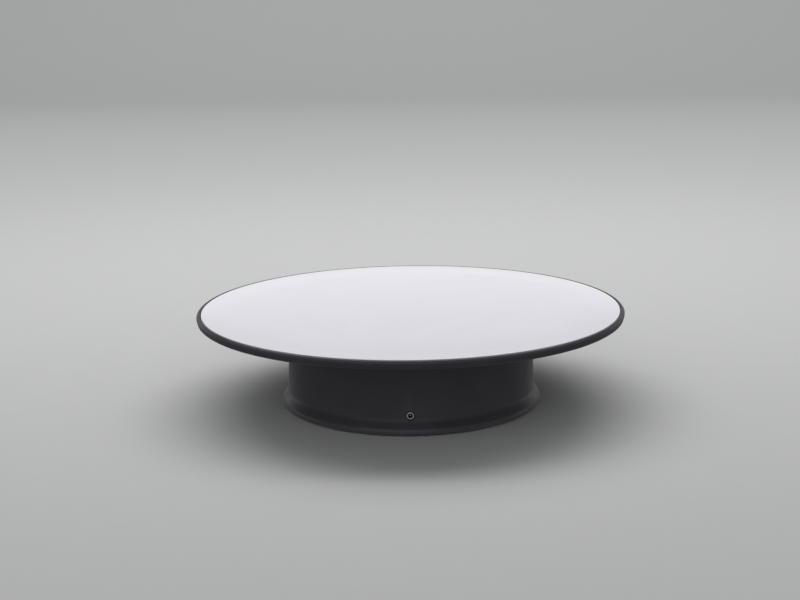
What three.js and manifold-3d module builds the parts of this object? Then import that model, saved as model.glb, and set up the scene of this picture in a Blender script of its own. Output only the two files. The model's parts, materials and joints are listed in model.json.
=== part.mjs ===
// A motorised rotary display stand: a 10 inch platter with a white top disc turns on a round
// drum base. A worm-drive gearbox, a D cell, a slide switch and a DC jack sit inside the drum.
// Units are millimetres, +Z is up, and the origin is the centre of the base on the surface
// that the feet rest on. The jack faces -Y.
import * as THREE from "three";
import { mergeVertices } from "three/addons/utils/BufferGeometryUtils.js";
import Module from "manifold-3d";

const wasm = await Module();
wasm.setup();

// ---------------------------------------------------------------- driving dimensions

const STAND_HEIGHT = 57; // floor to the top of the white disc
const PLATTER_R = 127; // 10 inch platter
const DISC_R = 124.3;
const DISC_THICKNESS = 1.75;
const PLATTER_WEB_TOP = STAND_HEIGHT - DISC_THICKNESS - 0.05;
const PLATTER_WEB = 2; // thickness of the web under the disc
const PLATTER_UNDER = PLATTER_WEB_TOP - PLATTER_WEB;
const PLATTER_BOSS_BOTTOM = 50.9;
const SCREW_SEAT = 54; // the head of the platter screw sits here, below the disc
const LIP_GAP = 0.35; // groove between the disc and the platter's lip
const RIB_COUNT = 8; // stiffening ribs under the platter
const RIB_DEPTH = 1;

const DRUM_TOP_R = 73.2; // the drum wall has a small draft
const DRUM_FOOT_R = 73.9;
const DRUM_TOP = 52.6;
const FLANGE_R = 77.75; // the flared foot flange
const FLANGE_BOTTOM = 1.2;
const FLANGE_EDGE_TOP = 2.7;
const FLARE = [[77.2, 4.2], [76.1, 5.7], [74.95, 7.3]]; // from the flange's edge up to the wall
const FLARE_TOP = 9;
const WALL = 2.4;
const DECK_TOP = 50;
const DECK_BOTTOM = 47.6;

const COVER_R = 74.8; // bottom cover, recessed in the flange
const COVER_GAP = 0.3;
const COVER_BOTTOM = 1.6;
const COVER_TOP = 3.8;
const FOOT_R = 6;
const FOOT_RING_R = 64; // feet stand on this circle
const FOOT_TOP = 2;
const BOSS_RING_R = 64; // bottom cover screws, between the feet
const BOSS_R = 4;
const BOSS_ANGLES = [45, 135, 225, 315];

const RACE_R = 62; // ball circle of the thrust bearing
const BALL_R = 2;
const BALL_Z = (PLATTER_UNDER + DECK_TOP) / 2;
const RACE_GROOVE_R = BALL_R + 0.45;
const BALL_COUNT = 6;

// Battery bay for one D cell, moulded into the bottom cover
const BAY = { x: 33.5, y0: 17.2, y1: 52.8, top: 39.8, wall: 1.6 };
const DOOR_OPENING = { x: 32.5, y0: 17.6, y1: 52.4 };
const DOOR_GAP = 0.4;
const DOOR_BACK_GAP = 0.7; // the lower back edge swings under the cover
const DOOR_TOP = 3.4;
const DOOR_PIVOT = { y: 52, z: 1.9 };
const DOOR_TAB = { x: 17, halfWidth: 3, r: 0.7 };
const LATCH = { halfWidth: 4.5, reach: 1.6, slot: 1, slotLength: 8 };
const CELL = { r: 16.6, y: 35, z: 20.6, x0: -28.3, x1: 31.2, nubR: 4.75, nub: 1.5 };

// Gear train: worm, 30 tooth wheel, 10:40, 12:60, so 600 motor turns to one platter turn
const FINE = 0.8; // gear module of the first two stages
const COARSE = 1; // gear module of the last stage
const WORM_WHEEL_TEETH = 30;
const PINION_1_TEETH = 10;
const WHEEL_2_TEETH = 40;
const PINION_2_TEETH = 12;
const FINAL_TEETH = 60;
const pitchR = (teeth, module) => (teeth * module) / 2;
const WORM_PITCH_R = 4;
const WORM_LEAD = Math.PI * FINE;
const MOTOR_Z = 20; // motor axis runs along Y over the origin's X
const WORM_Y = -34;
const AXLE_1 = new THREE.Vector2(-WORM_PITCH_R - pitchR(WORM_WHEEL_TEETH, FINE), WORM_Y);
const AXLE_2 = meshPoint(
  AXLE_1,
  pitchR(PINION_1_TEETH, FINE) + pitchR(WHEEL_2_TEETH, FINE),
  pitchR(PINION_2_TEETH, COARSE) + pitchR(FINAL_TEETH, COARSE),
);
const AXLE_R = 1.5;
const AXLE_HOLE_R = 1.65;
const GEAR_BORE_R = 1.7;
const WORM_WHEEL = { z0: 17.5, z1: 22.5 };
const PINION_1_TOP = 29.5;
const WHEEL_2 = { z0: 24, z1: 28 };
const PINION_2 = { z0: 42.3, z1: 46.9 };
const FINAL_GEAR_Z = 42.6;
const FINAL_GEAR_THICKNESS = 4;

// Gearbox frame: two plates joined by four posts
const FRAME_BOX = { x0: -40, x1: 20, y0: -52, y1: 11.5 };
const FRAME_LOWER = { z0: 5, z1: 7 };
const FRAME_UPPER = { z0: 33, z1: 35 };
const POSTS = [
  [-36, -48],
  [16, -48],
  [16, 8],
  [-36, 8],
];
const POST_R = 3;
const PILOT_R = 0.95; // screw holes in the posts

// The motor lies along Y, so these are distances along Y from the middle of the stand
const MOTOR_R = 12;
const MOTOR_SHEET = 0.8;
const MOTOR_FRONT_Y = -18;
const MOTOR_BACK_Y = 8;
const MOTOR_SHAFT_R = 1;
const SHAFT = { y0: -49.2, y1: 9.2 };
const ROTOR = { r: 8.5, y0: -12, y1: 2, slots: [90, 210, 330] };
const MAGNET = { inner: 9.2, y0: -14, y1: 4 };
const TERMINAL_X = 6;

const SPINDLE_R = 4;
const SPINDLE_TIP_R = 3.5;
const SPINDLE_TOP = 53.9;

const SWITCH = { x: 40, y: -30, travel: 4, knobX: 2, knobY: 1.7 };

// The jack lies along Y with its mouth at -Y, flush with the drum wall
const JACK_Z = 11.2;
const JACK_BACK_Y = -60.5;
const JACK_MOUTH = 13.25; // from the back of its body
const JACK_BORE_R = 1.25;
const JACK_RING_R = 2.25;
const JACK_HOLE_R = 2.5;
const JACK_LUGS = [-2.4, 0, 2.4];
const WIRE_R = 0.7;

// Pan-head screws
const COVER_SCREW = { head: 3, headHeight: 1.1, shank: 1.2, length: 13 };
const FRAME_SCREW = { head: 2.5, headHeight: 1.4, shank: 0.8, length: 8.5 };
const PLATTER_SCREW = { head: 3.6, headHeight: 1.1, shank: 1.1, length: 8.5 };

// Facets: platter and drum, middling rounds, small rounds, very small rounds
const ROUND_BIG = 56;
const ROUND_MID = 24;
const ROUND_SMALL = 16;
const ROUND_TINY = 10;

// ---------------------------------------------------------------- solids

// The point at distance r from axle a and distance R from the origin, on the left of a.
function meshPoint(a, r, R) {
  const d = a.length();
  const along = (R * R - r * r + d * d) / (2 * d);
  const across = Math.sqrt(R * R - along * along);
  return new THREE.Vector2(a.x * along + a.y * across, a.y * along - a.x * across).divideScalar(d);
}

function solid(geometry) {
  const bare = geometry.index ? geometry.toNonIndexed() : geometry.clone();
  bare.deleteAttribute("normal");
  bare.deleteAttribute("uv");
  const merged = mergeVertices(bare, 1e-4);
  const made = new wasm.Manifold(
    new wasm.Mesh({
      numProp: 3,
      vertProperties: merged.attributes.position.array,
      triVerts: new Uint32Array(merged.index.array),
    }),
  );
  return made;
}

function geometryOf(manifold) {
  const mesh = manifold.getMesh();
  const geometry = new THREE.BufferGeometry();
  geometry.setAttribute("position", new THREE.BufferAttribute(mesh.vertProperties, 3));
  geometry.setIndex(new THREE.BufferAttribute(mesh.triVerts, 1));
  geometry.computeVertexNormals();
  return geometry;
}

const join = (first, ...rest) => rest.reduce((a, b) => a.add(b), first);
const cut = (first, ...rest) => rest.reduce((a, b) => a.subtract(b), first);

// A profile of [radius, z] points turned about Z. A profile off the axis closes on itself.
function turned(profile, segments) {
  const points = profile.map(([r, z]) => new THREE.Vector2(r, z));
  const onAxis = profile[0][0] === 0 && profile.at(-1)[0] === 0;
  if (!onAxis) points.push(points[0].clone());
  const anticlockwise = THREE.ShapeUtils.area(points) > 0;
  if (!anticlockwise) points.reverse();
  return solid(new THREE.LatheGeometry(points, segments).rotateX(Math.PI / 2));
}

const disc = (r, z0, z1, segments) =>
  turned([[0, z0], [r, z0], [r, z1], [0, z1]], segments);

const ring = (inner, outer, z0, z1, segments) =>
  turned([[inner, z0], [outer, z0], [outer, z1], [inner, z1]], segments);

function block(x0, x1, y0, y1, z0, z1) {
  const geometry = new THREE.BoxGeometry(x1 - x0, y1 - y0, z1 - z0);
  return solid(geometry.translate((x0 + x1) / 2, (y0 + y1) / 2, (z0 + z1) / 2));
}

// A flat shape of [x, y] points raised from z0 to z1.
function raised(points, z0, z1) {
  const shape = new THREE.Shape(points.map(([x, y]) => new THREE.Vector2(x, y)));
  const geometry = new THREE.ExtrudeGeometry(shape, { depth: z1 - z0, bevelEnabled: false });
  return solid(geometry.translate(0, 0, z0));
}

const at = (made, point) => made.translate([point.x ?? point[0], point.y ?? point[1], 0]);
const alongX = (made) => made.rotate([0, 90, 0]); // +Z turns to +X
const alongY = (made) => made.rotate([-90, 0, 0]); // +Z turns to +Y
const polar = (r, degrees) => {
  const a = THREE.MathUtils.degToRad(degrees);
  return [r * Math.cos(a), r * Math.sin(a)];
};

// A tube along a smooth curve through the given points.
function tube(points, r, sides, steps) {
  const curve = new THREE.CatmullRomCurve3(
    points.map((p) => new THREE.Vector3(...p)),
    false,
    "centripetal",
  );
  const section = new THREE.Shape(
    Array.from({ length: sides }, (_, i) => new THREE.Vector2(...polar(r, (360 * i) / sides))),
  );
  const options = { steps, extrudePath: curve, bevelEnabled: false };
  return solid(new THREE.ExtrudeGeometry(section, options));
}

// The outline of a spur gear, thinned by backlash, with a tooth centred at phase. Pinions get
// involute flanks, and the nearly straight flanks of the larger wheels run from root to tip.
function gearOutline(teeth, module, phase, backlash) {
  const r = pitchR(teeth, module);
  const pressure = THREE.MathUtils.degToRad(20);
  const baseR = r * Math.cos(pressure);
  const rootR = r - 1.25 * module;
  const tipR = r + 0.95 * module;
  const involute = (a) => Math.tan(a) - a;
  const halfAtPitch = (Math.PI * module - 2 * backlash) / 4 / r;
  const halfAt = (R) =>
    halfAtPitch + involute(pressure) - involute(Math.acos(Math.min(1, baseR / R)));
  const flank = teeth < 20 ? [rootR, baseR, r, tipR] : [rootR, tipR];
  const points = [];
  for (let i = 0; i < teeth; i += 1) {
    const centre = phase + (2 * Math.PI * i) / teeth;
    const rising = flank.map((R) => [R, centre - halfAt(R)]);
    const falling = flank.toReversed().map((R) => [R, centre + halfAt(R)]);
    points.push(...[...rising, ...falling].map(([R, a]) => [R * Math.cos(a), R * Math.sin(a)]));
  }
  return points;
}

// ---------------------------------------------------------------- base: casing

function baseShell() {
  const inner = DRUM_TOP_R - WALL;
  const shell = turned(
    [
      [COVER_R + COVER_GAP, FLANGE_BOTTOM],
      [FLANGE_R - 0.3, FLANGE_BOTTOM],
      [FLANGE_R, FLANGE_BOTTOM + 0.4],
      [FLANGE_R, FLANGE_EDGE_TOP],
      ...FLARE,
      [DRUM_FOOT_R, FLARE_TOP],
      [DRUM_TOP_R, DRUM_TOP - 0.4],
      [DRUM_TOP_R - 0.4, DRUM_TOP],
      [inner + 0.6, DRUM_TOP],
      [inner + 0.4, DECK_TOP],
      [6.7, DECK_TOP],
      [6.7, DECK_BOTTOM],
      [inner, DECK_BOTTOM],
      [inner + 0.4, COVER_TOP + COVER_GAP],
      [COVER_R + COVER_GAP, COVER_TOP + COVER_GAP],
    ],
    ROUND_BIG,
  );
  let made = cut(shell, raceGroove());
  for (const degrees of BOSS_ANGLES) {
    const [x, y] = polar(BOSS_RING_R, degrees);
    const post = disc(BOSS_R, COVER_TOP + 0.2, DECK_BOTTOM + 0.5, ROUND_SMALL).translate([x, y, 0]);
    const pilot = disc(1.35, COVER_TOP, 16, ROUND_TINY).translate([x, y, 0]);
    const rib = block(BOSS_RING_R + 2, inner + 1, -1, 1, COVER_TOP + 0.5, DECK_BOTTOM + 0.5);
    made = cut(join(made, post, rib.rotate([0, 0, degrees])), pilot);
  }
  const jackHole = alongY(disc(JACK_HOLE_R, -80, -65, ROUND_SMALL)).translate([0, 0, JACK_Z]);
  return cut(made, jackHole);
}

// The ring that both ball races are cut from.
function raceGroove() {
  const points = [];
  const sides = 8;
  for (let i = 0; i < sides; i += 1) {
    const [r, z] = polar(RACE_GROOVE_R, (360 * (i + 0.5)) / sides);
    points.push([RACE_R + r, BALL_Z + z]);
  }
  return turned(points, ROUND_BIG);
}

function bottomCover() {
  const { x, y0, y1, top, wall } = BAY;
  let made = disc(COVER_R, COVER_BOTTOM, COVER_TOP, ROUND_BIG);
  made = join(made, block(-x - wall, x + wall, y0 - wall, y1 + wall, COVER_TOP - 0.5, top + wall));
  made = cut(
    made,
    block(-x, x, y0, y1, COVER_TOP, top),
    block(-DOOR_OPENING.x, DOOR_OPENING.x, DOOR_OPENING.y0, DOOR_OPENING.y1, 0, COVER_TOP + 1),
    alongX(disc(1.5, -x - 5, x + 5, ROUND_TINY)).translate([0, CELL.y, 34]), // wire holes
  );
  for (const middle of [-DOOR_TAB.x, DOOR_TAB.x]) {
    const notch = DOOR_TAB.halfWidth + 0.5; // room for a hinge tab
    made = cut(made, block(middle - notch, middle + notch, DOOR_PIVOT.y, 53.3, 0, 3.3));
  }
  made = cut(made, block(-6, 6, 15.9, 18, 0, 3.4)); // room for the door's latch tongue
  for (const degrees of BOSS_ANGLES) {
    const [px, py] = polar(BOSS_RING_R, degrees);
    const hole = join(disc(1.6, 0, 6, ROUND_TINY), disc(3.4, 0, 2.9, ROUND_SMALL));
    made = cut(made, hole.translate([px, py, 0]));
    const [fx, fy] = polar(FOOT_RING_R, degrees + 45);
    made = cut(made, disc(FOOT_R + 0.3, 0, FOOT_TOP, ROUND_SMALL).translate([fx, fy, 0]));
  }
  for (const post of POSTS) {
    made = join(made, at(disc(POST_R, COVER_TOP - 0.5, FRAME_LOWER.z0, ROUND_TINY), post));
  }
  made = join(made, block(-5, 5, -70, -61, COVER_TOP - 0.5, JACK_Z - 3.6)); // jack rest
  const slot = SWITCH.travel / 2 + 2.4;
  made = cut(
    made,
    block(SWITCH.x - slot, SWITCH.x + slot, SWITCH.y - 2.2, SWITCH.y + 2.2, 0, COVER_TOP + 1),
  );
  return made;
}

const foot = () =>
  turned(
    [
      [0, 0],
      [FOOT_R - 0.8, 0],
      [FOOT_R - 0.1, 0.5],
      [FOOT_R, 1.2],
      [FOOT_R, FOOT_TOP],
      [0, FOOT_TOP],
    ],
    ROUND_SMALL,
  );

// A pan-head screw that stands on its head at z = 0 with the shank up, with a cross recess.
function screw({ head, headHeight, shank, length }) {
  const pan = turned(
    [
      [0, 0],
      [head * 0.7, 0],
      [head, headHeight * 0.5],
      [head, headHeight],
      [0, headHeight],
    ],
    ROUND_TINY,
  );
  const arm = head * 0.55;
  const depth = headHeight * 0.6;
  return cut(
    join(pan, disc(shank, headHeight - 0.2, length, ROUND_TINY)),
    block(-arm, arm, -0.3, 0.3, -1, depth),
    block(-0.3, 0.3, -arm, arm, -1, depth),
  );
}

// ---------------------------------------------------------------- battery compartment

// Built with its pivot line on the X axis; the door lies towards -Y.
function batteryDoor() {
  const { x, y0, y1 } = DOOR_OPENING;
  const front = y0 + DOOR_GAP - DOOR_PIVOT.y;
  const back = y1 - DOOR_BACK_GAP - DOOR_PIVOT.y;
  const bottom = COVER_BOTTOM - DOOR_PIVOT.z;
  const top = DOOR_TOP - DOOR_PIVOT.z;
  let made = block(-x + DOOR_GAP, x - DOOR_GAP, front, back, bottom, top);
  for (const tab of [-DOOR_TAB.x, DOOR_TAB.x]) {
    const { halfWidth, r } = DOOR_TAB;
    made = join(made, block(tab - halfWidth, tab + halfWidth, back - 1, r, bottom, r));
  }
  // latch tongue with a relief slot on each side and two finger grooves beside it
  const { halfWidth, reach, slot, slotLength } = LATCH;
  made = join(made, block(-halfWidth, halfWidth, front - reach, front + 1, top - 1.1, top - 0.3));
  for (const side of [-1, 1]) {
    const near = side * (halfWidth + 1);
    const far = near + side * slot;
    const ends = [front - 1, front + slotLength, bottom - 1, top + 1];
    made = cut(made, block(Math.min(near, far), Math.max(near, far), ...ends));
  }
  for (const y of [front + 2, front + 4.5]) {
    made = cut(made, block(-4, 4, y, y + 1.5, bottom - 1, bottom + 0.6));
  }
  return made;
}

function batteryCell() {
  const { r, x0, x1, nubR, nub } = CELL;
  return alongX(
    turned(
      [
        [0, x0 + 0.6],
        [r - 3.2, x0 + 0.6],
        [r - 2.6, x0],
        [r - 0.7, x0],
        [r, x0 + 0.8],
        [r, x1 - 0.8],
        [r - 0.7, x1],
        [nubR + 0.8, x1 - 0.3],
        [nubR, x1],
        [nubR, x1 + nub - 0.4],
        [nubR - 0.5, x1 + nub],
        [0, x1 + nub],
      ],
      ROUND_MID,
    ),
  );
}

// Conical coil that widens towards the bay wall, on the X axis.
function contactSpring() {
  const turns = 3.5;
  const length = BAY.x - 0.9 + CELL.x0 - 0.4;
  const points = [];
  const steps = 10 * turns;
  for (let i = 0; i <= steps; i += 1) {
    const t = i / steps;
    const [y, z] = polar(7.2 - 3.4 * t, 360 * turns * t);
    points.push([t * (length - 1), y, z]);
  }
  return tube(points, 0.45, 6, steps);
}

const contactPlate = () =>
  join(block(-0.2, 0.2, -9, 9, -9, 9), block(-0.2, 0.2, -2, 2, 8, 14.6));

// ---------------------------------------------------------------- jack and switch

// The pieces of the jack share an origin on its axis, at the back of its body.
function jackBody() {
  const box = block(-3.6, 3.6, -10, 0, -3.5, 3.5);
  const nose = alongY(disc(JACK_RING_R - 0.5, -JACK_MOUTH + 0.9, -9, ROUND_SMALL));
  const bore = alongY(disc(JACK_BORE_R, -20, -3, ROUND_SMALL));
  const lugs = JACK_LUGS.map((x) => block(x - 0.4, x + 0.4, -0.5, 0.9, -1.5, 1));
  return cut(join(box, nose, ...lugs), bore);
}

// A metal tube round the nose, with a rolled rim that closes in to the bore.
function jackBushing() {
  const back = -10.2;
  const inner = JACK_RING_R - 0.3;
  const profile = [
    [JACK_BORE_R, -JACK_MOUTH + 0.3],
    [JACK_BORE_R + 0.2, -JACK_MOUTH],
    [JACK_RING_R - 0.2, -JACK_MOUTH],
    [JACK_RING_R, -JACK_MOUTH + 0.25],
    [JACK_RING_R, back],
    [inner, back],
    [inner, -JACK_MOUTH + 0.6],
    [JACK_BORE_R, -JACK_MOUTH + 0.6],
  ];
  return alongY(turned(profile, ROUND_SMALL));
}

function jackPin() {
  const tip = -JACK_MOUTH + 1.2;
  const back = -3.2;
  return alongY(turned([[0, tip], [0.3, tip], [0.5, tip + 0.6], [0.5, back], [0, back]], ROUND_TINY));
}

function switchBody() {
  const shell = cut(block(-5.6, 5.6, -3, 3, COVER_TOP + 0.05, 9.3), block(-5, 5, -2.5, 2.5, 3, 5.7));
  const pins = [-3, 0, 3].map((x) => block(x - 0.4, x + 0.4, -1, 1, 9, 11));
  return join(shell, ...pins);
}

function switchSlider() {
  const { knobX, knobY } = SWITCH;
  const knob = block(-knobX, knobX, -knobY, knobY, 0.8, 5);
  const flange = block(-knobX - 0.8, knobX + 0.8, -knobY - 0.5, knobY + 0.5, 4.1, 5.4);
  const grooves = [-1, 0, 1].map((x) => block(x - 0.2, x + 0.2, -2, 2, 0, 1.1));
  return cut(join(knob, flange), ...grooves);
}

// ---------------------------------------------------------------- gearbox frame

function plate({ x0, x1, y0, y1 }, z0, z1) {
  const c = 3; // cut corners
  const outline = [
    [x0 + c, y0],
    [x1 - c, y0],
    [x1, y0 + c],
    [x1, y1 - c],
    [x1 - c, y1],
    [x0 + c, y1],
    [x0, y1 - c],
    [x0, y0 + c],
  ];
  return raised(outline, z0, z1);
}

// Posts, axle seats, two saddles for the motor and a bearing wall for the worm end of its shaft.
function gearboxLower() {
  const { z0, z1 } = FRAME_LOWER;
  const root = z1 - 0.5; // everything that stands on the plate starts inside it
  const saddleTop = MOTOR_Z - 5;
  let made = join(
    plate(FRAME_BOX, z0 + 0.05, z1),
    at(disc(3, root, WORM_WHEEL.z0 - 0.5, ROUND_SMALL), AXLE_1),
    at(disc(3, root, WHEEL_2.z0 - 0.6, ROUND_SMALL), AXLE_2),
    block(-4, 4, -49, -46.5, root, MOTOR_Z + 4),
    block(-MOTOR_R, MOTOR_R, -14, -11.5, root, saddleTop),
    block(-MOTOR_R, MOTOR_R, 1.5, 4, root, saddleTop),
  );
  for (const post of POSTS) {
    made = join(made, at(disc(POST_R, root, FRAME_UPPER.z0 - 0.05, ROUND_SMALL), post));
    made = cut(made, at(disc(PILOT_R, 24, 40, ROUND_TINY), post));
  }
  for (const axle of [AXLE_1, AXLE_2]) {
    made = cut(made, at(disc(AXLE_HOLE_R, 0, 30, ROUND_TINY), axle));
  }
  const bed = alongY(disc(MOTOR_R + 0.3, -22, 12, ROUND_MID));
  const bearing = alongY(disc(MOTOR_SHAFT_R + 0.25, -52, -40, ROUND_SMALL));
  return cut(made, join(bed, bearing).translate([0, 0, MOTOR_Z]));
}

// The top plate carries the spindle's pivot in the middle and clears the second gear.
function gearboxUpper() {
  const { z0, z1 } = FRAME_UPPER;
  let made = join(
    plate(FRAME_BOX, z0, z1),
    disc(5.2, z1 - 0.5, 38.6, ROUND_SMALL),
    at(disc(3, z1 - 0.5, z1 + 1, ROUND_TINY), AXLE_1),
  );
  made = cut(
    made,
    disc(2.75, z0 + 1, 42, ROUND_SMALL),
    at(disc(7.4, 30, 40, ROUND_SMALL), AXLE_2),
    at(disc(AXLE_HOLE_R, 30, z1, ROUND_TINY), AXLE_1),
  );
  for (const post of POSTS) {
    made = cut(made, at(disc(PILOT_R + 0.2, 30, 40, ROUND_TINY), post));
  }
  return made;
}

// ---------------------------------------------------------------- motor

// Motor pieces are built along Z and lie down along Y, with z = 0 at the motor's y = 0.
const motorCan = () =>
  turned(
    [
      [1.6, MOTOR_FRONT_Y - 1.5],
      [3, MOTOR_FRONT_Y - 1.5],
      [3, MOTOR_FRONT_Y],
      [MOTOR_R - 1, MOTOR_FRONT_Y],
      [MOTOR_R, MOTOR_FRONT_Y + 1],
      [MOTOR_R, MOTOR_BACK_Y],
      [MOTOR_R - MOTOR_SHEET, MOTOR_BACK_Y],
      [MOTOR_R - MOTOR_SHEET, MOTOR_FRONT_Y + 1],
      [1.6, MOTOR_FRONT_Y + 1],
    ],
    ROUND_MID,
  );
const motorEndCap = () =>
  cut(
    join(
      disc(MOTOR_R - 1, 6.4, MOTOR_BACK_Y + 0.5, ROUND_MID),
      disc(MOTOR_R - 0.3, MOTOR_BACK_Y + 0.1, 10.5, ROUND_MID),
    ),
    disc(MOTOR_SHAFT_R + 0.2, 5, 9.6, ROUND_TINY),
    block(-TERMINAL_X - 1.7, -TERMINAL_X + 1.7, -0.7, 0.7, 9, 11),
    block(TERMINAL_X - 1.7, TERMINAL_X + 1.7, -0.7, 0.7, 9, 11),
  );
const motorTerminal = () => block(-1.4, 1.4, -0.3, 0.3, 9.1, 12.4);

function motorMagnet() {
  const arc = ring(MAGNET.inner, MOTOR_R - MOTOR_SHEET - 0.2, MAGNET.y0, MAGNET.y1, ROUND_MID);
  return arc.intersect(raised([[0, 0], [20, -26], [20, 26]], -20, 10));
}

function motorRotor() {
  const { r, y0, y1, slots } = ROTOR;
  let made = ring(MOTOR_SHAFT_R + 0.15, r, y0, y1, ROUND_MID);
  for (const degrees of slots) {
    made = cut(made, block(5, 10, -0.8, 0.8, y0 - 1, y1 + 1).rotate([0, 0, degrees]));
  }
  const commutator = ring(MOTOR_SHAFT_R + 0.15, 2.6, y1 - 0.2, 5.6, ROUND_SMALL);
  return join(made, commutator);
}

const motorShaft = () => disc(MOTOR_SHAFT_R, SHAFT.y0, SHAFT.y1, ROUND_SMALL);

// Single-start right-hand worm: a trapezoid thread swept round a core.
function worm() {
  const half = 6.5;
  const perTurn = 10;
  const steps = Math.round((2 * half * perTurn) / WORM_LEAD / 1.15);
  const tip = WORM_PITCH_R + 0.7;
  const section = [
    [2.4, -0.62],
    [tip, -0.24],
    [tip, 0.24],
    [2.4, 0.62],
  ];
  const positions = [];
  const faces = [];
  for (let i = 0; i <= steps; i += 1) {
    const turns = (i - steps / 2) / perTurn;
    for (const [r, z] of section) {
      const [x, y] = polar(r, 360 * turns);
      positions.push(x, y, z + WORM_LEAD * turns);
    }
  }
  const n = section.length;
  for (let i = 0; i < steps; i += 1) {
    for (let j = 0; j < n; j += 1) {
      const [a, b] = [i * n + j, i * n + ((j + 1) % n)];
      faces.push(a, a + n, b, b, a + n, b + n);
    }
  }
  const last = steps * n;
  faces.push(0, 1, 2, 0, 2, 3, last, last + 2, last + 1, last, last + 3, last + 2);
  const thread = new THREE.BufferGeometry();
  thread.setAttribute("position", new THREE.Float32BufferAttribute(positions, 3));
  thread.setIndex(faces);
  let made = solid(thread);
  if (made.volume() < 0) {
    thread.setIndex(faces.toReversed());
    made = solid(thread);
  }
  // the thread's crest faces -X at mid length, where the wheel's gap waits for it
  const core = disc(2.9, -half, half, ROUND_SMALL);
  return cut(join(made.rotate([0, 0, 180]), core), disc(MOTOR_SHAFT_R + 0.15, -20, 20, ROUND_SMALL));
}

// ---------------------------------------------------------------- gears

const gear = (teeth, module, phase, backlash, z0, z1) =>
  raised(gearOutline(teeth, module, phase, backlash), z0, z1);
const bore = (made, r, z0, z1) => cut(made, disc(r, z0 - 1, z1 + 1, ROUND_SMALL));

const towardsFinal = Math.atan2(-AXLE_2.y, -AXLE_2.x);
const towardsAxle2 = Math.atan2(AXLE_2.y - AXLE_1.y, AXLE_2.x - AXLE_1.x);
const halfPitch = (teeth) => Math.PI / teeth;

// Worm wheel below, pinion above; the wheel's gap faces the worm at +X.
function compoundGear1() {
  const made = join(
    gear(WORM_WHEEL_TEETH, FINE, halfPitch(WORM_WHEEL_TEETH), 0.45, WORM_WHEEL.z0, WORM_WHEEL.z1),
    gear(PINION_1_TEETH, FINE, towardsAxle2, 0.16, WORM_WHEEL.z1 - 0.2, PINION_1_TOP),
    disc(2.6, PINION_1_TOP - 0.2, FRAME_UPPER.z0 - 0.4, ROUND_SMALL),
  );
  return bore(made, GEAR_BORE_R, WORM_WHEEL.z0, FRAME_UPPER.z0);
}

function compoundGear2() {
  const wheelPhase = towardsAxle2 + Math.PI + halfPitch(WHEEL_2_TEETH);
  const made = join(
    gear(WHEEL_2_TEETH, FINE, wheelPhase, 0.16, WHEEL_2.z0, WHEEL_2.z1),
    disc(4.6, WHEEL_2.z1 - 0.2, PINION_2.z0 + 0.2, ROUND_SMALL),
    gear(PINION_2_TEETH, COARSE, towardsFinal, 0.18, PINION_2.z0, PINION_2.z1),
  );
  return bore(made, GEAR_BORE_R, WHEEL_2.z0, PINION_2.z1);
}

function finalGear() {
  const phase = towardsFinal + Math.PI + halfPitch(FINAL_TEETH);
  const top = FINAL_GEAR_Z + FINAL_GEAR_THICKNESS;
  let made = join(
    gear(FINAL_TEETH, COARSE, phase, 0.18, FINAL_GEAR_Z, top),
    disc(8, FINAL_GEAR_Z - 1, top + 0.6, ROUND_SMALL),
  );
  for (let i = 0; i < 5; i += 1) {
    made = cut(made, disc(5.5, 40, 50, ROUND_TINY).translate([...polar(17.5, 72 * i), 0]));
  }
  return bore(made, SPINDLE_R + 0.12, FINAL_GEAR_Z, top);
}

function spindle() {
  const made = turned(
    [
      [0, 35.3],
      [2.5, 35.3],
      [2.5, 39],
      [SPINDLE_R, 39],
      [SPINDLE_R, 50.6],
      [SPINDLE_TIP_R, 50.6],
      [SPINDLE_TIP_R, SPINDLE_TOP],
      [0, SPINDLE_TOP],
    ],
    ROUND_SMALL,
  );
  return cut(made, disc(1.3, 45, 60, ROUND_TINY), block(2.7, 6, -6, 6, 50.7, 60));
}

const spindleBush = () =>
  turned(
    [
      [SPINDLE_R + 0.2, DECK_BOTTOM],
      [6.5, DECK_BOTTOM],
      [6.5, DECK_TOP + 0.05],
      [8.2, DECK_TOP + 0.05],
      [8.2, DECK_TOP + 0.45],
      [SPINDLE_R + 0.2, DECK_TOP + 0.45],
    ],
    ROUND_SMALL,
  );

// ---------------------------------------------------------------- platter

function platter() {
  const lipInner = DISC_R + LIP_GAP;
  const boreR = SPINDLE_TIP_R + 0.25;
  const dish = turned(
    [
      [boreR, PLATTER_BOSS_BOTTOM],
      [12, PLATTER_BOSS_BOTTOM],
      [12.3, PLATTER_UNDER],
      [122.3, PLATTER_UNDER],
      [122.6, 52],
      [125.2, 52],
      [126.4, 52.8],
      [PLATTER_R, 55],
      [PLATTER_R, STAND_HEIGHT - 1.3],
      [PLATTER_R - 0.7, STAND_HEIGHT - 0.4],
      [lipInner + 0.9, STAND_HEIGHT - 0.05],
      [lipInner + 0.2, STAND_HEIGHT - 0.1],
      [lipInner, STAND_HEIGHT - 0.4],
      [lipInner, PLATTER_WEB_TOP],
      [4.3, PLATTER_WEB_TOP],
      [4.3, SCREW_SEAT],
      [boreR, SCREW_SEAT],
    ],
    ROUND_BIG,
  );
  const ribBottom = PLATTER_UNDER - RIB_DEPTH;
  let made = join(
    cut(dish, raceGroove()),
    ring(99.2, 100.8, ribBottom, PLATTER_UNDER + 0.4, ROUND_BIG),
    block(2.95, 4.5, -3, 3, PLATTER_BOSS_BOTTOM, SCREW_SEAT), // flat of the drive bore
  );
  for (let i = 0; i < RIB_COUNT; i += 1) {
    const rib = block(79, 122.5, -0.8, 0.8, ribBottom, PLATTER_UNDER + 0.4);
    made = join(made, rib.rotate([0, 0, (360 * (i + 0.5)) / RIB_COUNT]));
  }
  return made;
}

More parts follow.
